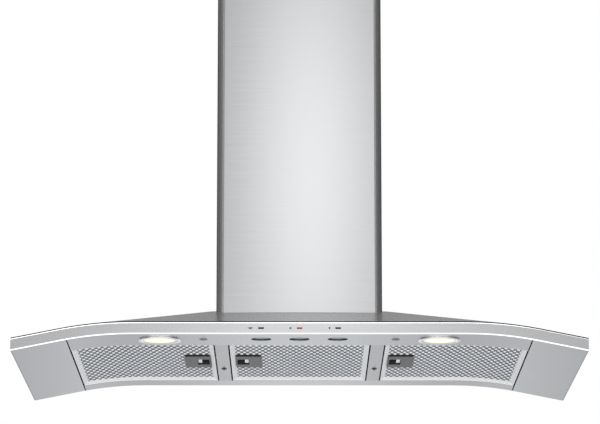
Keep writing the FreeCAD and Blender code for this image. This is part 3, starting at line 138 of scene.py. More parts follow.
# Flags: glowing boards that only gloss sees, as a photographer stands them round polished metal.
# The wide cards fade towards their sides, and the near flag fades outwards from its middle.
def flag(name, place, turn, width, height, tone):
    bpy.ops.mesh.primitive_plane_add(size=1, location=place, rotation=turn)
    board = bpy.context.object
    board.name = name
    board.scale = (width, height, 1)
    matt = bpy.data.materials.new(name)
    matt.use_nodes = True
    shader = matt.node_tree.nodes["Principled BSDF"]
    shader.inputs["Base Color"].default_value = (0, 0, 0, 1)
    shader.inputs["Specular IOR Level"].default_value = 0
    shader.inputs["Emission Color"].default_value = (1, 1, 1, 1)
    shader.inputs["Emission Strength"].default_value = tone
    board.data.materials.append(matt)
    board.visible_camera = False
    board.visible_diffuse = False
    board.visible_shadow = False
    board.visible_transmission = False
    return matt


quarter = math.pi / 2
flag("front_flag", (0, -9, 1.6), (quarter, 0, 0), 12, 6, 0.5)
flag("left_flag", (-4.2, -0.9, 0.4), (quarter, 0, quarter), 7, 5, 0.22)
flag("right_flag", (4.2, -0.9, 0.4), (quarter, 0, -quarter), 7, 5, 0.18)
flag("rear_flag", (0, 2.6, 1.45), (quarter, 0, 0), 3.6, 2.2, 0.46)
flag("left_dark_flag", (-3.2, 2.6, 1.45), (quarter, 0, 0), 2.8, 2.2, 0.03)
flag("right_dark_flag", (3.2, 2.6, 1.45), (quarter, 0, 0), 2.8, 2.2, 0.03)
flag("low_flag", (0, -3.5, -1.3), (0, 0, 0), 4.4, 5.0, 1.8)


CARD_WIDE = 8
FADE_START = 0.1 / CARD_WIDE
FADE_END = 0.6 / CARD_WIDE


def fading_flag(name, place, turn, depth, middle_tone, side_tone):
    """A wide card that is brightest in its middle and fades towards its sides."""
    matt = flag(name, place, turn, CARD_WIDE, depth, middle_tone)
    tree = matt.node_tree
    spot = tree.nodes.new("ShaderNodeTexCoord")
    split = tree.nodes.new("ShaderNodeSeparateXYZ")
    aside = tree.nodes.new("ShaderNodeMath")
    aside.operation = "ABSOLUTE"
    fall = tree.nodes.new("ShaderNodeMapRange")
    fall.interpolation_type = "SMOOTHSTEP"
    fall.inputs["From Min"].default_value = FADE_START
    fall.inputs["From Max"].default_value = FADE_END
    fall.inputs["To Min"].default_value = middle_tone
    fall.inputs["To Max"].default_value = side_tone
    tree.links.new(spot.outputs["Object"], split.inputs["Vector"])
    tree.links.new(split.outputs["X"], aside.inputs[0])
    tree.links.new(aside.outputs[0], fall.inputs["Value"])
    tree.links.new(fall.outputs["Result"], tree.nodes["Principled BSDF"].inputs["Emission Strength"])


fading_flag("rear_card", (0, 9.6, -0.6), (quarter, 0, 0), 2.0, 1.0, 0.76)
fading_flag("bounce_board", (0, 6.5, -1.5), (0, 0, 0), 6.0, 0.97, 0.64)
fading_flag("band_card", (0, -1.45, -0.14), (quarter, 0, 0), 0.32, 1.08, 0.69)
GLOW_WIDE = 2.4
GLOW_HIGH = 1.9
GLOW_REACH = 3.0
GLOW_ACROSS = 0.25
GLOW_UP = 0.85
GLOW_TONES = ((0.11, 0.9), (0.2, 0.56), (0.31, 0.35), (0.6, 0.255))
glow_board = flag("near_flag", (0.035, -1.5, 0.38), (quarter, 0, 0), GLOW_WIDE, GLOW_HIGH, 1.8)
tree = glow_board.node_tree
place = tree.nodes.new("ShaderNodeTexCoord")
oval = tree.nodes.new("ShaderNodeMapping")
oval.inputs["Scale"].default_value = (GLOW_WIDE / GLOW_ACROSS, GLOW_HIGH / GLOW_UP, 1)
radius = tree.nodes.new("ShaderNodeVectorMath")
radius.operation = "LENGTH"
nearness = tree.nodes.new("ShaderNodeMath")
nearness.operation = "DIVIDE"
nearness.inputs[1].default_value = GLOW_REACH
fade = tree.nodes.new("ShaderNodeValToRGB")
fade.color_ramp.interpolation = "B_SPLINE"
fade.color_ramp.elements[0].position = 0
fade.color_ramp.elements[0].color = (1, 1, 1, 1)
fade.color_ramp.elements[1].position = 1
fade.color_ramp.elements[1].color = (0.2, 0.2, 0.2, 1)
for spot, tone in GLOW_TONES:
    fade.color_ramp.elements.new(spot).color = (tone, tone, tone, 1)
tree.links.new(place.outputs["Object"], oval.inputs["Vector"])
tree.links.new(oval.outputs["Vector"], radius.inputs[0])
tree.links.new(radius.outputs["Value"], nearness.inputs[0])
tree.links.new(nearness.outputs[0], fade.inputs["Fac"])
tree.links.new(fade.outputs["Color"], tree.nodes["Principled BSDF"].inputs["Emission Color"])


# Top skin: the canopy's sloping sheet of brushed steel, which keeps its imported shape. Fine scratches
# run along it and are uneven in depth. Its front lip, tucked in behind the band, is painted dark:
# painted shade for the gap there.
def new_group(name, inputs, outputs):
    group = bpy.data.node_groups.new(name, "ShaderNodeTree")
    for label, kind, amount in inputs:
        socket = group.interface.new_socket(label, in_out="INPUT", socket_type=kind)
        socket.default_value = amount
    for label, kind in outputs:
        group.interface.new_socket(label, in_out="OUTPUT", socket_type=kind)
    return group, group.nodes.new("NodeGroupInput"), group.nodes.new("NodeGroupOutput")


def build_brushing():
    group, taken, given = new_group(
        "brushing",
        [
            ("Vector", "NodeSocketVector", (0, 0, 0)),
            ("Light", "NodeSocketColor", (0.6, 0.6, 0.6, 1)),
            ("Dark", "NodeSocketColor", (0.5, 0.5, 0.5, 1)),
            ("Roughness", "NodeSocketFloat", 0.3),
        ],
        [("Color", "NodeSocketColor"), ("Roughness", "NodeSocketFloat"), ("Height", "NodeSocketFloat")],
    )
    scratches = group.nodes.new("ShaderNodeTexNoise")
    scratches.inputs["Scale"].default_value = 1
    scratches.inputs["Detail"].default_value = 2
    scratches.inputs["Roughness"].default_value = 0.7
    tone = group.nodes.new("ShaderNodeMapRange")
    tone.inputs["From Min"].default_value = 0.3
    tone.inputs["From Max"].default_value = 0.7
    mixed = group.nodes.new("ShaderNodeMix")
    mixed.data_type = "RGBA"
    dulled = group.nodes.new("ShaderNodeMath")
    dulled.operation = "MULTIPLY_ADD"
    dulled.inputs[1].default_value = 0.04
    join = group.links.new
    join(taken.outputs["Vector"], scratches.inputs["Vector"])
    join(scratches.outputs["Fac"], tone.inputs["Value"])
    join(tone.outputs["Result"], mixed.inputs["Factor"])
    join(taken.outputs["Dark"], mixed.inputs["A"])
    join(taken.outputs["Light"], mixed.inputs["B"])
    join(mixed.outputs["Result"], given.inputs["Color"])
    join(scratches.outputs["Fac"], dulled.inputs[0])
    join(taken.outputs["Roughness"], dulled.inputs[2])
    join(dulled.outputs[0], given.inputs["Roughness"])
    join(scratches.outputs["Fac"], given.inputs["Height"])
    return group


brushing = build_brushing()


SCRATCH_DEPTH = 0.0001


def finish_from(group, name, light, dark, roughness, depth, metallic):
    """A material whose colour, gloss and relief come from a node group."""
    made = bpy.data.materials.new(name)
    made.use_nodes = True
    tree = made.node_tree
    shader = tree.nodes["Principled BSDF"]
    shader.inputs["Metallic"].default_value = metallic
    tree.nodes.new("ShaderNodeTexCoord")
    grain = tree.nodes.new("ShaderNodeGroup")
    grain.node_tree = group
    grain.inputs["Light"].default_value = (*light, 1)
    grain.inputs["Dark"].default_value = (*dark, 1)
    grain.inputs["Roughness"].default_value = roughness
    bump = tree.nodes.new("ShaderNodeBump")
    bump.inputs["Strength"].default_value = depth
    bump.inputs["Distance"].default_value = SCRATCH_DEPTH
    tree.links.new(grain.outputs["Color"], shader.inputs["Base Color"])
    tree.links.new(grain.outputs["Roughness"], shader.inputs["Roughness"])
    tree.links.new(grain.outputs["Height"], bump.inputs["Height"])
    tree.links.new(bump.outputs["Normal"], shader.inputs["Normal"])
    return made


def brushed_metal(name, light, dark, roughness, grain):
    """A brushed metal whose marks are counted per metre along X, Y and Z."""
    made = finish_from(brushing, name, light, dark, roughness, 0.06, 1.0)
    tree = made.node_tree
    mapping = tree.nodes.new("ShaderNodeMapping")
    mapping.inputs["Scale"].default_value = grain
    tree.links.new(tree.nodes["Texture Coordinate"].outputs["Object"], mapping.inputs["Vector"])
    tree.links.new(mapping.outputs["Vector"], tree.nodes["Group"].inputs["Vector"])
    return made


def recoloured(material, operation, line, colour):
    """Changes a material's colour where Y passes a line, and returns the node that says where."""
    tree = material.node_tree
    split = tree.nodes.new("ShaderNodeSeparateXYZ")
    beyond = tree.nodes.new("ShaderNodeMath")
    beyond.operation = operation
    beyond.inputs[1].default_value = line
    chosen = tree.nodes.new("ShaderNodeMix")
    chosen.data_type = "RGBA"
    chosen.inputs["B"].default_value = colour
    tree.links.new(tree.nodes["Texture Coordinate"].outputs["Object"], split.inputs["Vector"])
    tree.links.new(split.outputs["Y"], beyond.inputs[0])
    tree.links.new(beyond.outputs[0], chosen.inputs["Factor"])
    tree.links.new(tree.nodes["Group"].outputs["Color"], chosen.inputs["A"])
    tree.links.new(chosen.outputs["Result"], tree.nodes["Principled BSDF"].inputs["Base Color"])
    return beyond


def finish_with(piece, *finishes):
    piece.data.materials.clear()
    for finish in finishes:
        piece.data.materials.append(finish)


COVER_LIGHT = (0.635, 0.64, 0.65)
COVER_DARK = (0.605, 0.61, 0.62)
COVER_GRAIN = (6, 700, 700)
LIP_LINE = -0.4984
LIP_PAINTED_SHADE = 0.03
SKIN_TINT = (0.62, 0.61, 0.60, 1)
skin_brushed = brushed_metal("skin_brushed_steel", COVER_LIGHT, COVER_DARK, 0.24, COVER_GRAIN)
skin_brushed.node_tree.nodes["Principled BSDF"].inputs["Specular Tint"].default_value = SKIN_TINT
# Painted shade: the skin's front lip is coloured near black, where the gap behind the band is shaded.
recoloured(skin_brushed, "LESS_THAN", LIP_LINE, (LIP_PAINTED_SHADE, LIP_PAINTED_SHADE, LIP_PAINTED_SHADE, 1))
finish_with(nodes["canopy_top_skin"], skin_brushed)


# Canopy sheets: the two side bands, the underside's two strips and its two end panels, of brushed
# steel. They are thin folded sheets, so every edge is slightly round.
def only(piece):
    bpy.ops.object.select_all(action="DESELECT")
    piece.select_set(True)
    bpy.context.view_layer.objects.active = piece


def apply_all(piece):
    only(piece)
    for modifier in list(piece.modifiers):
        bpy.ops.object.modifier_apply(modifier=modifier.name)


def settle(piece, name, body, slot, *replaced):
    """Names a finished piece, gives it its body and hides the solids that it stands for. Its slot is not
    used.
    """
    piece.name = name
    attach(piece, body)
    if replaced:
        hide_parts(*replaced)


def shade_even(piece, angle):
    """Smooths the shading over rounded edges and keeps the flat faces flat."""
    only(piece)
    bpy.ops.object.shade_smooth_by_angle(angle=math.radians(angle))
    weighting = piece.modifiers.new("weighting", "WEIGHTED_NORMAL")
    weighting.keep_sharp = True
    apply_all(piece)


def split_hollow_faces(piece):
    """Divides every face that goes round a hole or a corner, so that it fills properly."""
    only(piece)
    bpy.ops.object.mode_set(mode="EDIT")
    bpy.ops.mesh.select_all(action="SELECT")
    bpy.ops.mesh.vert_connect_concave()
    bpy.ops.object.mode_set(mode="OBJECT")


WELD_REACH = 1e-5
FLAT_ANGLE = 0.4
EDGE_ANGLE = 35


def eased_copy(name, width, steps=2):
    """A solid's copy, its flat faces joined and its edges rounded."""
    piece = bpy.data.objects.new(name + "_eased", nodes[name].data.copy())
    bpy.context.scene.collection.objects.link(piece)
    only(piece)
    bpy.ops.object.mode_set(mode="EDIT")
    bpy.ops.mesh.select_all(action="SELECT")
    bpy.ops.mesh.remove_doubles(threshold=WELD_REACH)
    bpy.ops.mesh.dissolve_limited(angle_limit=math.radians(FLAT_ANGLE))
    bpy.ops.object.mode_set(mode="OBJECT")
    if width:
        rounding = piece.modifiers.new("rounding", "BEVEL")
        rounding.width = width
        rounding.segments = steps
        rounding.limit_method = "ANGLE"
        rounding.angle_limit = math.radians(EDGE_ANGLE)
        apply_all(piece)
        split_hollow_faces(piece)
    shade_even(piece, EDGE_ANGLE)
    return piece


def eased(name, body, slot, finish, width, steps=2):
    """Stands a solid's eased copy in for it, with its finish and body. Its slot is not used."""
    piece = eased_copy(name, width, steps)
    finish_with(piece, finish)
    settle(piece, name + "_eased", body, slot, name)


SHEET_EASE = 0.0004
STEEL_LIGHT = (0.455, 0.475, 0.505)
STEEL_DARK = (0.42, 0.44, 0.47)
STEEL_ROUGH = 0.22
ALONG_X = (7, 700, 700)
ALONG_Y = (700, 7, 700)
long_brushed = brushed_metal("long_brushed_steel", STEEL_LIGHT, STEEL_DARK, STEEL_ROUGH, ALONG_X)
deep_brushed = brushed_metal("deep_brushed_steel", STEEL_LIGHT, STEEL_DARK, STEEL_ROUGH, ALONG_Y)
for name in ("front_strip", "rear_strip", "end_panel_left", "end_panel_right"):
    eased(name, "root", "brushed_stainless", long_brushed, SHEET_EASE)
for name in ("side_band_left", "side_band_right"):
    eased(name, "root", "brushed_stainless", deep_brushed, SHEET_EASE)

# Front band: a folded channel of brushed steel with three windows. Its two long folds are narrow
# facets with eased edges, which catch the light as a bright line above and below. Their slanted
# facets also carry a lighter copy of the steel, a painted highlight.
SHARP = 0
TOP_FOLD = 0.0006
LOW_FOLD = 0.0008
TOP_RISE = 0.0015
FOLD_EASE = 0.0003
BAND_FRONT = -0.5
BAND_SHELL = 0.002
FLUSH_REACH = 0.0001
SLANT = 0.3
UPRIGHT = 0.95
HIGHLIGHT_SLANT = 0.97
FORWARD = -0.2
FOLD_HIGHLIGHT_LIGHT = (0.80, 0.803, 0.808)
FOLD_HIGHLIGHT_DARK = (0.76, 0.763, 0.768)


def pick(piece, chosen, kind="verts"):
    """Selects, in edit mode, only the vertices, edges or faces for which chosen() is true."""
    bpy.ops.mesh.select_all(action="DESELECT")
    shape = bmesh.from_edit_mesh(piece.data)
    for item in getattr(shape, kind):
        if chosen(item):
            item.select_set(True)
    shape.select_flush_mode()
    bmesh.update_edit_mesh(piece.data)


def on_fold(corner, side):
    """True for the front face's corners on its upper fold, side 1, or its lower one, side -1."""
    in_front = corner.co.y < BAND_FRONT + FLUSH_REACH
    return in_front and any(SLANT < side * face.normal.z < UPRIGHT for face in corner.link_faces)


def on_top(corner):
    """True for the corners of the band's front shell that carry a face looking upwards."""
    in_front = corner.co.y < BAND_FRONT + BAND_SHELL
    return in_front and any(face.normal.z > SLANT for face in corner.link_faces)


band = eased_copy("front_band", SHARP)
bpy.ops.object.mode_set(mode="EDIT")
bpy.ops.mesh.select_mode(type="VERT")
pick(band, on_top)
bpy.ops.transform.translate(value=(0, 0, TOP_RISE))
for side, drop in ((1, -TOP_FOLD), (-1, LOW_FOLD)):
    pick(band, lambda corner: on_fold(corner, side))
    bpy.ops.transform.translate(value=(0, 0, drop))
bpy.ops.mesh.select_mode(type="EDGE")
for side in (1, -1):
    pick(band, lambda edge: all(on_fold(corner, side) for corner in edge.verts), "edges")
    bpy.ops.mesh.bevel(offset=FOLD_EASE, segments=2, affect="EDGES")
bpy.ops.object.mode_set(mode="OBJECT")
shade_even(band, EDGE_ANGLE)
cover_brushed = brushed_metal("cover_brushed_steel", COVER_LIGHT, COVER_DARK, STEEL_ROUGH, COVER_GRAIN)
# Painted highlight: a lighter copy of the steel, given to the band's slanted fold facets.
fold_painted_highlight = brushed_metal("fold_painted_highlight_steel", FOLD_HIGHLIGHT_LIGHT, FOLD_HIGHLIGHT_DARK, STEEL_ROUGH, COVER_GRAIN)
finish_with(band, cover_brushed, fold_painted_highlight)
for face in band.data.polygons:
    slanted = SLANT < abs(face.normal.z) < HIGHLIGHT_SLANT
    face.material_index = 1 if slanted and face.normal.y < FORWARD else 0
settle(band, "folded_band", "root", "brushed_stainless", "front_band")

# Back panel: galvanised sheet against the wall. Its zinc has cooled in broad flat crystals, each a
# slightly different grey.
galvanised = bpy.data.materials.new("galvanised_sheet")
galvanised.use_nodes = True
tree = galvanised.node_tree
shader = tree.nodes["Principled BSDF"]
shader.inputs["Metallic"].default_value = 1
place = tree.nodes.new("ShaderNodeTexCoord")
crystals = tree.nodes.new("ShaderNodeTexVoronoi")
crystals.inputs["Scale"].default_value = 130
crystals.inputs["Randomness"].default_value = 1
greys = tree.nodes.new("ShaderNodeValToRGB")
greys.color_ramp.elements[0].color = (0.42, 0.44, 0.46, 1)
greys.color_ramp.elements[1].color = (0.62, 0.64, 0.66, 1)
sheen = tree.nodes.new("ShaderNodeMapRange")
sheen.inputs["To Min"].default_value = 0.34
sheen.inputs["To Max"].default_value = 0.52
relief = tree.nodes.new("ShaderNodeBump")
relief.inputs["Strength"].default_value = 0.15
relief.inputs["Distance"].default_value = 0.0001
split = tree.nodes.new("ShaderNodeSeparateColor")
tree.links.new(place.outputs["Object"], crystals.inputs["Vector"])
tree.links.new(crystals.outputs["Color"], split.inputs["Color"])
tree.links.new(split.outputs["Red"], greys.inputs["Fac"])
tree.links.new(greys.outputs["Color"], shader.inputs["Base Color"])
tree.links.new(split.outputs["Green"], sheen.inputs["Value"])
tree.links.new(sheen.outputs["Result"], shader.inputs["Roughness"])
tree.links.new(split.outputs["Blue"], relief.inputs["Height"])
tree.links.new(relief.outputs["Normal"], shader.inputs["Normal"])
eased("back_panel", "root", "galvanised_steel", galvanised, SHEET_EASE)


# Crossbars: folded steel bars between the filters, brushed from front to back. Each is held by one
# dark screw with a cupped head.
def build_grain():
    group, taken, given = new_group(
        "moulded_grain",
        [
            ("Vector", "NodeSocketVector", (0, 0, 0)),
            ("Scale", "NodeSocketFloat", 900),
            ("Light", "NodeSocketColor", (0.1, 0.1, 0.1, 1)),
            ("Dark", "NodeSocketColor", (0.05, 0.05, 0.05, 1)),
            ("Roughness", "NodeSocketFloat", 0.5),
        ],
        [("Color", "NodeSocketColor"), ("Roughness", "NodeSocketFloat"), ("Height", "NodeSocketFloat")],
    )
    speckle = group.nodes.new("ShaderNodeTexNoise")
    speckle.inputs["Detail"].default_value = 4
    cloud = group.nodes.new("ShaderNodeTexNoise")
    cloud.inputs["Scale"].default_value = 25
    mixed = group.nodes.new("ShaderNodeMix")
    mixed.data_type = "RGBA"
    dulled = group.nodes.new("ShaderNodeMath")
    dulled.operation = "MULTIPLY_ADD"
    dulled.inputs[1].default_value = 0.12
    join = group.links.new
    join(taken.outputs["Vector"], speckle.inputs["Vector"])
    join(taken.outputs["Scale"], speckle.inputs["Scale"])
    join(taken.outputs["Vector"], cloud.inputs["Vector"])
    join(cloud.outputs["Fac"], mixed.inputs["Factor"])
    join(taken.outputs["Dark"], mixed.inputs["A"])
    join(taken.outputs["Light"], mixed.inputs["B"])
    join(mixed.outputs["Result"], given.inputs["Color"])
    join(speckle.outputs["Fac"], dulled.inputs[0])
    join(taken.outputs["Roughness"], dulled.inputs[2])
    join(dulled.outputs[0], given.inputs["Roughness"])
    join(speckle.outputs["Fac"], given.inputs["Height"])
    return group


moulded_grain = build_grain()


def grained(name, light, dark, roughness, metallic=0.0, scale=900, depth=0.25):
    """A moulded, cast or satin surface with a fine pebbled grain."""
    made = finish_from(moulded_grain, name, light, dark, roughness, depth, metallic)
    tree = made.node_tree
    tree.nodes["Group"].inputs["Scale"].default_value = scale
    tree.links.new(tree.nodes["Texture Coordinate"].outputs["Object"], tree.nodes["Group"].inputs["Vector"])
    return made


SCREW_EASE = 0.0002
BAR_LIGHT = (0.35, 0.37, 0.395)
BAR_DARK = (0.32, 0.34, 0.365)
bar_brushed = brushed_metal("bar_brushed_steel", BAR_LIGHT, BAR_DARK, STEEL_ROUGH, ALONG_Y)
dark_screw = grained("dark_screw", (0.10, 0.10, 0.11), (0.06, 0.06, 0.065), 0.35, 0.9)
for name in ("crossbar_left", "crossbar_right"):
    eased(name, "root", "brushed_stainless", bar_brushed, SHEET_EASE)
eased("crossbar_screws", "root", "screw_metal", dark_screw, SCREW_EASE)

# Filter frames: bright rolled aluminium channels with a little tooling texture. Their rear rail is
# painted white, a painted highlight where the light falls on it, and has a clear coat.
REAR_RAIL = -0.0600
FRAME_EASE = 0.0003
bright_aluminium = grained(
    "bright_aluminium", (0.93, 0.95, 0.975), (0.88, 0.90, 0.925), 0.38, 0.12, 500, 0.15
)
# Painted highlight: the frames' rear rail, behind REAR_RAIL, is coloured pure white.
rail_painted_highlight = recoloured(bright_aluminium, "GREATER_THAN", REAR_RAIL, (1, 1, 1, 1))
tree = bright_aluminium.node_tree
tree.links.new(rail_painted_highlight.outputs[0], tree.nodes["Principled BSDF"].inputs["Coat Weight"])
for side in ("left", "centre", "right"):
    eased("filter_frame_" + side, "filter_" + side, "filter_aluminium", bright_aluminium, FRAME_EASE)

# Filter meshes: the perforated aluminium face of each cassette, pressed into staggered rows of
# small bosses. The sheet is cut away round the handle tray and follows the canopy's arch. The flat
# sheet between the bosses is painted dark as shade, and the bosses keep the bright aluminium.
BOSS_RADIUS = 0.0031
BOSS_HEIGHT = 0.0017
MESH_LOW = -0.215
MESH_FRONT = -0.388
MESH_REAR = -0.0595
MESH_COLUMNS = 21
MESH_ROWS = 22
MESH_SHEET = 0.0005
ARCH_START = 0.262
ARCH_RADIUS = 0.565
TRAY_FRONT = -0.2817
TRAY_REAR = -0.1702
BOSS_SIDES = 12
BOSS_STEPS = ((0.75, 0.82), (0.25, 0.6))
BOSS_MARGIN = 1.05
PRESSED_BELOW = -0.0002
END_REACH = 0.001
ROUND_ANGLE = 40
boss_bright = grained("boss_aluminium", (0.86, 0.89, 0.93), (0.78, 0.81, 0.85), 0.36, 0.4, 700, 0.2)
# Painted shade: a dark copy of the aluminium for the flat sheet between the bosses.
sheet_painted_shade = grained("mesh_painted_shade", (0.16, 0.166, 0.178), (0.11, 0.115, 0.125), 0.5, 0.6, 700, 0.3)


def boss_cell(pitch, row):
    """One cell of the sheet: a flat border round a pressed boss."""
    bpy.ops.object.select_all(action="DESELECT")
    bpy.ops.mesh.primitive_grid_add(x_subdivisions=4, y_subdivisions=2, size=1)
    cell = bpy.context.object
    cell.scale = (pitch, row, 1)
    bpy.ops.object.transform_apply(location=False, rotation=False, scale=True)
    bpy.ops.object.mode_set(mode="EDIT")
    bpy.ops.mesh.select_mode(type="VERT")
    pick(cell, lambda v: abs(v.co.y) < row / 4 and abs(v.co.x) < pitch * 0.4)
    bpy.ops.mesh.delete(type="VERT")
    bpy.ops.mesh.select_all(action="DESELECT")
    bpy.ops.mesh.primitive_circle_add(vertices=BOSS_SIDES, radius=BOSS_RADIUS, fill_type="NOTHING")
    bpy.ops.mesh.select_all(action="SELECT")
    bpy.ops.mesh.bridge_edge_loops()
    ring = BOSS_RADIUS * BOSS_MARGIN
    pick(cell, lambda v: v.co.length < ring)
    for share, shrink in BOSS_STEPS:
        drop = (0, 0, -share * BOSS_HEIGHT)
        bpy.ops.mesh.extrude_region_move(TRANSFORM_OT_translate={"value": drop})
        bpy.ops.transform.resize(value=(shrink, shrink, 1))
    bpy.ops.mesh.edge_face_add()
    bpy.ops.mesh.select_all(action="SELECT")
    bpy.ops.mesh.normals_make_consistent(inside=False)
    shape = bmesh.from_edit_mesh(cell.data)
    if sum(face.normal.z for face in shape.faces) > 0:
        bpy.ops.mesh.flip_normals()
    bpy.ops.object.mode_set(mode="OBJECT")
    return cell


def repeat(piece, count, step):
    """Repeats a piece in a row and welds each copy to the next."""
    rows = piece.modifiers.new("repeat", "ARRAY")
    rows.count = count
    rows.use_relative_offset = False
    rows.use_constant_offset = True
    rows.constant_offset_displace = step
    rows.use_merge_vertices = True
    rows.merge_threshold = WELD_REACH
    apply_all(piece)


def face_sheet(side, low, high, tray_low, tray_high):
    """The sheet of one cassette between two ends, cut away where its handle tray stands."""
    pitch = (high - low) / MESH_COLUMNS
    row = (MESH_REAR - MESH_FRONT) / MESH_ROWS
    sheet = boss_cell(pitch, row)
    finish_with(sheet, sheet_painted_shade, boss_bright)
    # The flat faces take the painted shade and the pressed bosses the bright aluminium.
    for face in sheet.data.polygons:
        face.material_index = 1 if face.center.z < PRESSED_BELOW else 0
    repeat(sheet, MESH_COLUMNS + 1, (pitch, 0, 0))
    only(sheet)
    bpy.ops.object.mode_set(mode="EDIT")
    bpy.ops.mesh.select_all(action="SELECT")
    bpy.ops.mesh.duplicate_move(TRANSFORM_OT_translate={"value": (-pitch / 2, row, 0)})
    bpy.ops.object.mode_set(mode="OBJECT")
    repeat(sheet, MESH_ROWS // 2, (0, 2 * row, 0))
    only(sheet)
    bpy.ops.object.mode_set(mode="EDIT")
    bpy.ops.mesh.select_all(action="SELECT")
    bpy.ops.mesh.remove_doubles(threshold=WELD_REACH)
    bpy.ops.transform.translate(value=(low, MESH_FRONT + row / 2, MESH_LOW))
    for edge, outward in ((low, -1), (high, 1)):
        bpy.ops.mesh.select_all(action="SELECT")
        bpy.ops.mesh.bisect(plane_co=(edge, 0, 0), plane_no=(outward, 0, 0), clear_outer=True)
    inner_edge = tray_high if tray_high < high - END_REACH else tray_low
    for spot, facing in (
        ((inner_edge, 0, 0), (1, 0, 0)),
        ((0, TRAY_FRONT, 0), (0, 1, 0)),
        ((0, TRAY_REAR, 0), (0, 1, 0)),
    ):
        bpy.ops.mesh.select_all(action="SELECT")
        bpy.ops.mesh.bisect(plane_co=spot, plane_no=facing)
    bpy.ops.mesh.select_mode(type="FACE")
    pick(
        sheet,
        lambda f: tray_low < f.calc_center_median().x < tray_high
        and TRAY_FRONT < f.calc_center_median().y < TRAY_REAR,
        "faces",
    )
    bpy.ops.mesh.delete(type="FACE")
    bpy.ops.object.mode_set(mode="OBJECT")
    for corner in sheet.data.vertices:
        beyond = abs(corner.co.x) - ARCH_START
        if beyond > 0:
            corner.co.z += math.sqrt(ARCH_RADIUS**2 - beyond**2) - ARCH_RADIUS
    wall = sheet.modifiers.new("wall", "SOLIDIFY")
    wall.thickness = MESH_SHEET
    wall.offset = -1
    apply_all(sheet)
    bpy.ops.object.shade_smooth_by_angle(angle=math.radians(ROUND_ANGLE))
    settle(sheet, "face_sheet_" + side, "filter_" + side, "filter_aluminium", "filter_mesh_" + side)


for side in ("left", "centre", "right"):
    low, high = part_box("filter_mesh_" + side)
    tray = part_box("handle_tray_" + side)
    face_sheet(side, low[0], high[0], tray[0][0], tray[1][0])

# Handle trays: a black moulded tray with a finger well, and a grey face plate with two rounded
# corners that is snapped over it and leaves the tray's dark edge showing.
PLATE_THICK = 0.0004
PLATE_MARGIN = 0.0006
PLATE_CORNER = 0.006
CORNER_TURNS = (15, 35, 55, 75)
FACE_REACH = 0.0002
FACING_DOWN = -0.9
TRAY_MIDDLE = -0.2237
TRAY_HALF = 0.0535
moulded_black = grained("moulded_black", (0.022, 0.022, 0.024), (0.012, 0.012, 0.013), 0.42)
plate_grey = grained("plate_grey", (0.068, 0.072, 0.079), (0.055, 0.059, 0.065), 0.36, 0.3)
for side, free, outward in (("left", 0, -1), ("centre", 1, 1), ("right", 1, 1)):
    name = "handle_tray_" + side
    face_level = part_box(name)[0][2]
    free_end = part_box(name)[free][0]
    plate = eased_copy(name, SHARP)
    bpy.ops.object.mode_set(mode="EDIT")
    bpy.ops.mesh.select_mode(type="FACE")
    pick(
        plate,
        lambda f: f.normal.z > FACING_DOWN or f.calc_center_median().z > face_level + FACE_REACH,
        "faces",
    )
    bpy.ops.mesh.delete(type="FACE")
    bpy.ops.mesh.select_all(action="SELECT")
    bpy.ops.mesh.inset(thickness=PLATE_MARGIN, depth=0)
    bpy.ops.mesh.select_all(action="INVERT")
    bpy.ops.mesh.delete(type="FACE")
    for end in (-1, 1):
        hub_x = free_end - outward * (PLATE_MARGIN + PLATE_CORNER)
        hub_y = TRAY_MIDDLE + end * (TRAY_HALF - PLATE_MARGIN - PLATE_CORNER)
        for turn in CORNER_TURNS:
            reach_x = outward * math.cos(math.radians(turn))
            reach_y = end * math.sin(math.radians(turn))
            spot = (hub_x + PLATE_CORNER * reach_x, hub_y + PLATE_CORNER * reach_y, face_level)
            bpy.ops.mesh.select_all(action="SELECT")
            bpy.ops.mesh.bisect(plane_co=spot, plane_no=(reach_x, reach_y, 0), clear_outer=True)
    bpy.ops.object.mode_set(mode="OBJECT")
    split_hollow_faces(plate)
    wall = plate.modifiers.new("wall", "SOLIDIFY")
    wall.thickness = PLATE_THICK
    wall.offset = 1
    shade_even(plate, EDGE_ANGLE)
    finish_with(plate, plate_grey)
    settle(plate, "tray_plate_" + side, "filter_" + side, "grey_plastic", name)
    body = eased_copy(name, SHARP)
    split_hollow_faces(body)
    shade_even(body, EDGE_ANGLE)
    finish_with(body, moulded_black)
    settle(body, "tray_body_" + side, "filter_" + side, "grey_plastic", name)
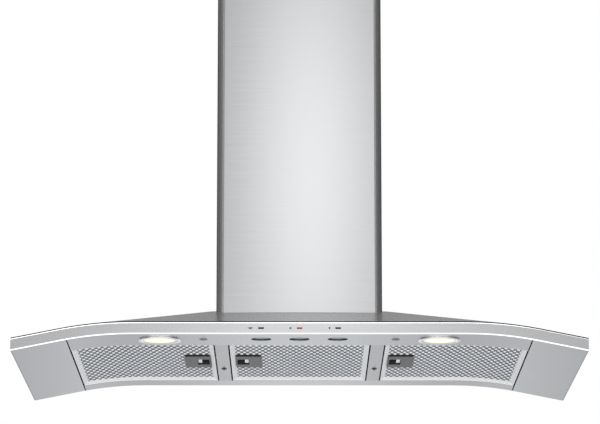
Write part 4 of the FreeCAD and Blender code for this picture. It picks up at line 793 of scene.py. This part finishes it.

# Latches: a bright nickel-plated tab in each well, on a coil spring of drawn wire.
SPRING_TURNS = 5
SPRING_WIRE = 0.0004
WIRE_SIDES = 8
WIRE_ANGLE = 50
STEPS_PER_TURN = 14
LATCH_EASE = 0.0004
nickel = grained("nickel_plate", (0.95, 0.95, 0.94), (0.90, 0.90, 0.89), 0.3, 0.1, 500, 0.1)
spring_wire = grained("spring_wire", (0.55, 0.55, 0.56), (0.42, 0.42, 0.43), 0.28, 1.0)
for side, pull in (("left", -1), ("centre", 1), ("right", 1)):
    eased("latch_" + side, "latch_" + side, "latch_metal", nickel, LATCH_EASE, 3)
    name = "latch_spring_" + side
    low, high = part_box(name)
    middle = [(a + b) / 2 for a, b in zip(low, high)]
    mean_radius = (high[1] - low[1]) / 2 - SPRING_WIRE
    reach = high[0] - low[0] - 2 * SPRING_WIRE
    bpy.ops.object.select_all(action="DESELECT")
    bpy.ops.mesh.primitive_circle_add(
        vertices=WIRE_SIDES,
        radius=SPRING_WIRE,
        location=(0, 0, mean_radius),
        rotation=(quarter, 0, 0),
    )
    coil = bpy.context.object
    bpy.ops.object.transform_apply(location=True, rotation=True, scale=True)
    winding = coil.modifiers.new("winding", "SCREW")
    winding.axis = "X"
    winding.angle = 2 * math.pi * SPRING_TURNS
    winding.steps = STEPS_PER_TURN * SPRING_TURNS
    winding.render_steps = STEPS_PER_TURN * SPRING_TURNS
    winding.screw_offset = reach
    apply_all(coil)
    bpy.ops.object.mode_set(mode="EDIT")
    bpy.ops.mesh.select_mode(type="VERT")
    bpy.ops.mesh.select_all(action="SELECT")
    bpy.ops.transform.translate(value=(low[0] + SPRING_WIRE, middle[1], middle[2]))
    bpy.ops.mesh.fill_holes(sides=WIRE_SIDES)
    bpy.ops.mesh.normals_make_consistent(inside=False)
    bpy.ops.object.mode_set(mode="OBJECT")
    bpy.ops.object.shade_smooth_by_angle(angle=math.radians(WIRE_ANGLE))
    finish_with(coil, spring_wire)
    settle(coil, "wound_spring_" + side, "filter_" + side, "spring_steel", name)
    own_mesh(coil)


# Lamps: a turned chrome ring round a fluted glass lens, with a reflector and a ceramic socket behind
# it. The halogen bulb is lit, so the lens glows white with a warm rim.
SEAM_REACH = 1e-6


def turned_piece(outline, centre, steps):
    """Spins an outline of (radius, height) points about an upright line."""
    bpy.ops.object.select_all(action="DESELECT")
    bpy.ops.mesh.primitive_plane_add(size=0.001)
    piece = bpy.context.object
    bpy.ops.object.mode_set(mode="EDIT")
    bpy.ops.mesh.select_mode(type="VERT")
    bpy.ops.mesh.merge(type="CENTER")
    bpy.ops.transform.translate(value=(outline[0][0], 0, outline[0][1]))
    for here, there in zip(outline, outline[1:]):
        step = (there[0] - here[0], 0, there[1] - here[1])
        bpy.ops.mesh.extrude_region_move(TRANSFORM_OT_translate={"value": step})
    bpy.ops.mesh.select_all(action="SELECT")
    bpy.ops.mesh.spin(steps=steps, angle=2 * math.pi, center=(0, 0, 0), axis=(0, 0, 1))
    bpy.ops.mesh.select_all(action="SELECT")
    bpy.ops.mesh.remove_doubles(threshold=SEAM_REACH)
    bpy.ops.mesh.normals_make_consistent(inside=False)
    bpy.ops.transform.translate(value=centre)
    bpy.ops.object.mode_set(mode="OBJECT")
    bpy.ops.object.shade_smooth_by_angle(angle=math.radians(ROUND_ANGLE))
    return piece


UNDERSIDE = -0.22
RING_STEPS = 64
RING_OUTLINE = [
    (0.0250, 0.0018),
    (0.0250, -0.0010),
    (0.0268, -0.0020),
    (0.0328, -0.0020),
    (0.0333, -0.0018),
    (0.0335, -0.0013),
    (0.0335, 0),
    (0.0300, 0),
    (0.0300, 0.0130),
    (0.0270, 0.0130),
    (0.0270, 0.0018),
    (0.0250, 0.0018),
]
LAMP_ACROSS = 0.220
LAMP_ALONG = -0.447
LENS_RADIUS = 0.0249
LENS_EDGE = 0.001
LENS_STEPS = 48
SOCKET_EASE = 0.0003
LENS_LOW = -0.2212
LENS_HIGH = -0.2183
FLUTE_COUNT = 6
FLUTE_DEPTH = 0.0004
chrome = grained("polished_chrome", (0.86, 0.87, 0.88), (0.80, 0.81, 0.82), 0.06, 1.0, 300, 0.03)
lit_glass = bpy.data.materials.new("lit_glass")
lit_glass.use_nodes = True
tree = lit_glass.node_tree
shader = tree.nodes["Principled BSDF"]
shader.inputs["Roughness"].default_value = 0.18
shader.inputs["Emission Strength"].default_value = 0.55
place = tree.nodes.new("ShaderNodeTexCoord")
mirrored = tree.nodes.new("ShaderNodeVectorMath")
mirrored.operation = "ABSOLUTE"
centred = tree.nodes.new("ShaderNodeVectorMath")
centred.operation = "SUBTRACT"
centred.inputs[1].default_value = (LAMP_ACROSS, -LAMP_ALONG, -LENS_LOW)
distance = tree.nodes.new("ShaderNodeVectorMath")
distance.operation = "LENGTH"
share = tree.nodes.new("ShaderNodeMath")
share.operation = "DIVIDE"
share.inputs[1].default_value = LENS_RADIUS
glow = tree.nodes.new("ShaderNodeValToRGB")
glow.color_ramp.elements[0].position = 0.5
glow.color_ramp.elements[0].color = (1.0, 0.985, 0.95, 1)
glow.color_ramp.elements[1].position = 0.95
glow.color_ramp.elements[1].color = (0.72, 0.70, 0.60, 1)
glow.color_ramp.elements.new(0.78).color = (1.0, 0.88, 0.60, 1)
ripple = tree.nodes.new("ShaderNodeTexNoise")
ripple.inputs["Scale"].default_value = 260
relief = tree.nodes.new("ShaderNodeBump")
relief.inputs["Strength"].default_value = 0.3
relief.inputs["Distance"].default_value = 0.0004
tree.links.new(place.outputs["Object"], mirrored.inputs[0])
tree.links.new(mirrored.outputs["Vector"], centred.inputs[0])
tree.links.new(centred.outputs["Vector"], distance.inputs[0])
tree.links.new(distance.outputs["Value"], share.inputs[0])
tree.links.new(share.outputs[0], glow.inputs["Fac"])
tree.links.new(glow.outputs["Color"], shader.inputs["Base Color"])
tree.links.new(glow.outputs["Color"], shader.inputs["Emission Color"])
tree.links.new(place.outputs["Object"], ripple.inputs["Vector"])
tree.links.new(ripple.outputs["Fac"], relief.inputs["Height"])
tree.links.new(relief.outputs["Normal"], shader.inputs["Normal"])
ceramic = grained("socket_ceramic", (0.85, 0.83, 0.78), (0.78, 0.76, 0.71), 0.5)
for side, across in (("left", -LAMP_ACROSS), ("right", LAMP_ACROSS)):
    ring = turned_piece(RING_OUTLINE, (across, LAMP_ALONG, UNDERSIDE), RING_STEPS)
    finish_with(ring, chrome)
    settle(ring, "lamp_ring_" + side, "root", "chrome", "lamp_bezel_" + side)
    eased("lamp_reflector_" + side, "root", "chrome", chrome, SHARP)
    eased("lamp_socket_" + side, "root", "lamp_ceramic", ceramic, SOCKET_EASE)
    outline = [(0, LENS_LOW)]
    for turn in range(FLUTE_COUNT):
        inner = (turn + 0.5) / FLUTE_COUNT * (LENS_RADIUS - LENS_EDGE)
        outer = (turn + 1) / FLUTE_COUNT * (LENS_RADIUS - LENS_EDGE)
        outline.append((inner, LENS_LOW + FLUTE_DEPTH))
        outline.append((outer, LENS_LOW))
    outline += [(LENS_RADIUS, LENS_LOW + LENS_EDGE), (LENS_RADIUS, LENS_HIGH), (0, LENS_HIGH)]
    lens = turned_piece(outline, (across, LAMP_ALONG, 0), LENS_STEPS)
    finish_with(lens, lit_glass)
    settle(lens, "fluted_lens_" + side, "root", "lamp_glass", "lamp_lens_" + side)

# Push buttons: turned metal caps with a shallow dish for the fingertip, which stand a little back
# in the strip.
BUTTON_RADIUS = 0.0155
BUTTON_LOW = -0.2175
BUTTON_HIGH = -0.2075
BUTTON_DISH = 0.0020
BUTTON_LIP = 0.0014
BUTTON_EDGE = 0.0004
BUTTON_ALONG = -0.4525
BUTTON_PITCH = 0.06
BOWL_STEPS = 8
BUTTON_STEPS = 48
button_steel = brushed_metal("button_steel", (0.48, 0.49, 0.51), (0.40, 0.41, 0.43), 0.3, (40, 700, 40))
for side, across in (("left", -BUTTON_PITCH), ("centre", 0.0), ("right", BUTTON_PITCH)):
    bowl = BUTTON_RADIUS - BUTTON_LIP
    outline = []
    for step in range(BOWL_STEPS + 1):
        rise = BUTTON_DISH * (1 - (step / BOWL_STEPS) ** 2)
        outline.append((bowl * step / BOWL_STEPS, BUTTON_LOW + rise))
    outline += [
        (BUTTON_RADIUS - BUTTON_EDGE, BUTTON_LOW),
        (BUTTON_RADIUS, BUTTON_LOW + BUTTON_EDGE),
        (BUTTON_RADIUS, BUTTON_HIGH),
        (0, BUTTON_HIGH),
    ]
    cap = turned_piece(outline, (across, BUTTON_ALONG, 0), BUTTON_STEPS)
    finish_with(cap, button_steel)
    settle(cap, "dished_button_" + side, "button_" + side, "button_metal", "push_button_" + side)

# Behind the buttons: a black moulded housing and its green laminate board, which are fixed above
# the front strip.
HOUSING_EASE = 0.0003
BOARD_EASE = 0.0001
laminate = grained("board_laminate", (0.03, 0.17, 0.07), (0.02, 0.12, 0.05), 0.35)
eased("button_housing", "root", "black_plastic", moulded_black, HOUSING_EASE)
eased("control_board", "root", "board_laminate", laminate, BOARD_EASE)

# Strip caps: two low domed steel plugs, turned and pressed into small holes in the front strip
# beside the buttons.
CAP_RADIUS = 0.0067
CAP_STEM = 0.0045
CAP_DOME = 0.0019
CAP_RIM = 0.0003
CAP_ACROSS = 0.151
CAP_ALONG = -0.451
DOME_STEPS = 5
CAP_STEPS = 32
cap_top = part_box("strip_caps")[1][2]
cap_steel = grained("cap_steel", (0.30, 0.31, 0.325), (0.25, 0.26, 0.275), 0.2, 1.0)
for side, across in (("left", -CAP_ACROSS), ("right", CAP_ACROSS)):
    outline = []
    for step in range(DOME_STEPS + 1):
        drop = CAP_DOME * (1 - (step / DOME_STEPS) ** 2)
        outline.append((CAP_RADIUS * step / DOME_STEPS, UNDERSIDE - CAP_RIM - drop))
    outline += [(CAP_RADIUS, UNDERSIDE), (CAP_STEM, UNDERSIDE), (CAP_STEM, cap_top), (0, cap_top)]
    plug = turned_piece(outline, (across, CAP_ALONG, 0), CAP_STEPS)
    finish_with(plug, cap_steel)
    settle(plug, "domed_cap_" + side, "root", "screw_metal", "strip_caps")


# Indicator windows: small moulded plastic lenses with a clear face, pressed into the band's three
# windows, one red between two black.
def window_plastic(name, light, dark, glow):
    made = grained(name, light, dark, 0.08, 0.0, 400, 0.05)
    shader = made.node_tree.nodes["Principled BSDF"]
    shader.inputs["Coat Weight"].default_value = 0.6
    shader.inputs["Emission Color"].default_value = (*light, 1)
    shader.inputs["Emission Strength"].default_value = glow
    return made


WINDOW_EASE = 0.0002
red_window = window_plastic("red_window", (0.75, 0.03, 0.03), (0.55, 0.01, 0.015), 0.25)
black_window = window_plastic("black_window", (0.02, 0.02, 0.022), (0.01, 0.01, 0.011), 0.0)
eased("indicator_lens_centre", "root", "red_lens", red_window, WINDOW_EASE)
for side in ("left", "right"):
    eased("indicator_lens_" + side, "root", "black_lens", black_window, WINDOW_EASE)

# Button marks: small signs printed on the band in grey beside the windows, a bar, a fan wheel and a
# bulb. Each is a thin film that lies on the steel.
MARK_LEVEL = -0.2108
MARK_THICK = 0.00005
BAR_PLACE = -0.0765
FAN_PLACE = -0.0142
BULB_PLACE = 0.0466
BLADE_REACH = 0.0012
mark_grey = grained("mark_grey", (0.075, 0.078, 0.08), (0.055, 0.057, 0.06), 0.5)


def printed(name, *shapes):
    """Joins flat shapes, each (sides, radius, stretch, x, z), into one print on the band."""
    bpy.ops.object.select_all(action="DESELECT")
    made = []
    for sides, radius, stretch, across, up in shapes:
        bpy.ops.mesh.primitive_cylinder_add(
            vertices=sides,
            radius=radius,
            depth=MARK_THICK,
            location=(across, BAND_FRONT - MARK_THICK / 2, up),
            rotation=(quarter, 0, 0),
            scale=(stretch, 1, 1),
        )
        bpy.ops.object.mode_set(mode="EDIT")
        pick(bpy.context.object, lambda face: abs(face.normal.z) > 0.9, "faces")
        bpy.ops.mesh.inset(thickness=radius / 5, depth=0)
        bpy.ops.object.mode_set(mode="OBJECT")
        made.append(bpy.context.object)
    for piece in made:
        piece.select_set(True)
    bpy.ops.object.join()
    piece = bpy.context.object
    bpy.ops.object.transform_apply(location=True, rotation=True, scale=True)
    finish_with(piece, mark_grey)
    settle(piece, name, "root", "black_plastic")


printed(
    "mark_bar",
    (4, 0.0009, 6.0, BAR_PLACE, MARK_LEVEL + 0.0006),
    (4, 0.0007, 6.0, BAR_PLACE, MARK_LEVEL - 0.0010),
)
blades = []
for turn in range(4):
    across = FAN_PLACE + BLADE_REACH * math.cos(turn * quarter)
    up = MARK_LEVEL + BLADE_REACH * math.sin(turn * quarter)
    blades.append((12, 0.0008, 1, across, up))
printed("mark_fan", (12, 0.0006, 1, FAN_PLACE, MARK_LEVEL), *blades)
printed(
    "mark_bulb",
    (16, 0.0015, 1, BULB_PLACE, MARK_LEVEL + 0.0005),
    (4, 0.0009, 1, BULB_PLACE, MARK_LEVEL - 0.0015),
)

# Lower duct cover: one folded sheet of brushed steel with bevelled front corners, which stands on the
# canopy. Its front is slightly crowned, as a sheet of this width is.
COVER_CROWN = 0.0012
CROWN_STEPS = 14
FOLD_WIDTH = 0.0112
FOLD_DEPTH = 0.014
FOLD_SHIFT = 0.0034
FRONT_FOLD = 0.0048
SIDE_FOLD = 0.0035
BEND_REACH = 0.0016
LEAN = 0.0002
FRONT_SHELL = 0.002
cover_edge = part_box("chimney_lower")[1][0]
cover_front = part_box("chimney_lower")[0][1]
cover_bend = cover_edge - FOLD_WIDTH
cover_flat = cover_bend + FOLD_SHIFT
cover = eased_copy("chimney_lower", SHARP)
bpy.ops.object.mode_set(mode="EDIT")
bpy.ops.mesh.select_mode(type="EDGE")


def upright_near(edge, across, along):
    one, two = (corner.co for corner in edge.verts)
    upright = (one.xy - two.xy).length < LEAN
    return upright and abs(abs(one.x) - across) < BEND_REACH and abs(one.y - along) < BEND_REACH


def near_bend(corner):
    beside = abs(abs(corner.co.x) - cover_bend) < BEND_REACH
    return beside and abs(corner.co.y - cover_front) < BEND_REACH


pick(cover, near_bend)
bpy.ops.transform.resize(value=(cover_flat / cover_bend, 1, 1), center_override=(0, 0, 0))
for across, along, radius in (
    (cover_flat, cover_front, FRONT_FOLD),
    (cover_edge, cover_front + FOLD_DEPTH, SIDE_FOLD),
):
    pick(cover, lambda edge: upright_near(edge, across, along), "edges")
    bpy.ops.mesh.bevel(offset=radius, segments=5, affect="EDGES")
crown_flat = cover_flat - FRONT_FOLD
for step in range(1, CROWN_STEPS):
    seam = crown_flat * (2 * step / CROWN_STEPS - 1)
    bpy.ops.mesh.select_all(action="SELECT")
    bpy.ops.mesh.bisect(plane_co=(seam, 0, 0), plane_no=(1, 0, 0))
bpy.ops.object.mode_set(mode="OBJECT")
for corner in cover.data.vertices:
    share = abs(corner.co.x) / crown_flat
    if share < 1 and corner.co.y < cover_front + FRONT_SHELL:
        corner.co.y -= COVER_CROWN * (1 - share**2)
shade_even(cover, ROUND_ANGLE)
finish_with(cover, cover_brushed)
settle(cover, "lower_cover", "root", "brushed_stainless", "chimney_lower")

# Upper duct cover: a folded sheet of brushed steel that slides up inside the lower one, with the
# galvanised bracket that fixes it to the wall.
UPPER_EASE = 0.0006
eased("chimney_upper", "upper_cover", "brushed_stainless", cover_brushed, UPPER_EASE, 3)
eased("upper_bracket", "upper_cover", "galvanised_steel", galvanised, SHEET_EASE)

# Motor box, duct spigot and flange: folded and drawn galvanised sheet. The box hangs on the wall and
# carries the blower, and the duct is pushed over the spigot.
FLANGE_EASE = 0.0002
eased("motor_box", "root", "galvanised_steel", galvanised, SHEET_EASE)
eased("outlet_collar", "root", "galvanised_steel", galvanised, SHARP)
eased("collar_flange", "root", "galvanised_steel", galvanised, FLANGE_EASE)

# Blower: a black moulded scroll with its wheel and flaps, galvanised inlet rings, and the motor on
# its three-arm mount.
motor_paint = grained("motor_paint", (0.30, 0.31, 0.32), (0.24, 0.25, 0.26), 0.4, 0.6)
for name, body, slot, finish in (
    ("blower_housing", "root", "black_plastic", moulded_black),
    ("impeller", "impeller", "black_plastic", moulded_black),
    ("flap_left", "flap_left", "black_plastic", moulded_black),
    ("flap_right", "flap_right", "black_plastic", moulded_black),
    ("inlet_rings", "root", "galvanised_steel", galvanised),
    ("motor_mount", "root", "galvanised_steel", galvanised),
    ("blower_motor", "root", "motor_steel", motor_paint),
):
    eased(name, body, slot, finish, SHARP)

# Electrical parts on the box's front: the run capacitor in its aluminium can, the wiring box and
# the cable gland.
CAN_EASE = 0.0003
BOX_EASE = 0.0006
can_aluminium = grained("can_aluminium", (0.72, 0.72, 0.73), (0.64, 0.64, 0.65), 0.3, 0.9)
eased("capacitor", "root", "capacitor_aluminium", can_aluminium, CAN_EASE)
eased("electronics_box", "root", "black_plastic", moulded_black, BOX_EASE)
eased("cable_gland", "root", "black_plastic", moulded_black, SHARP)
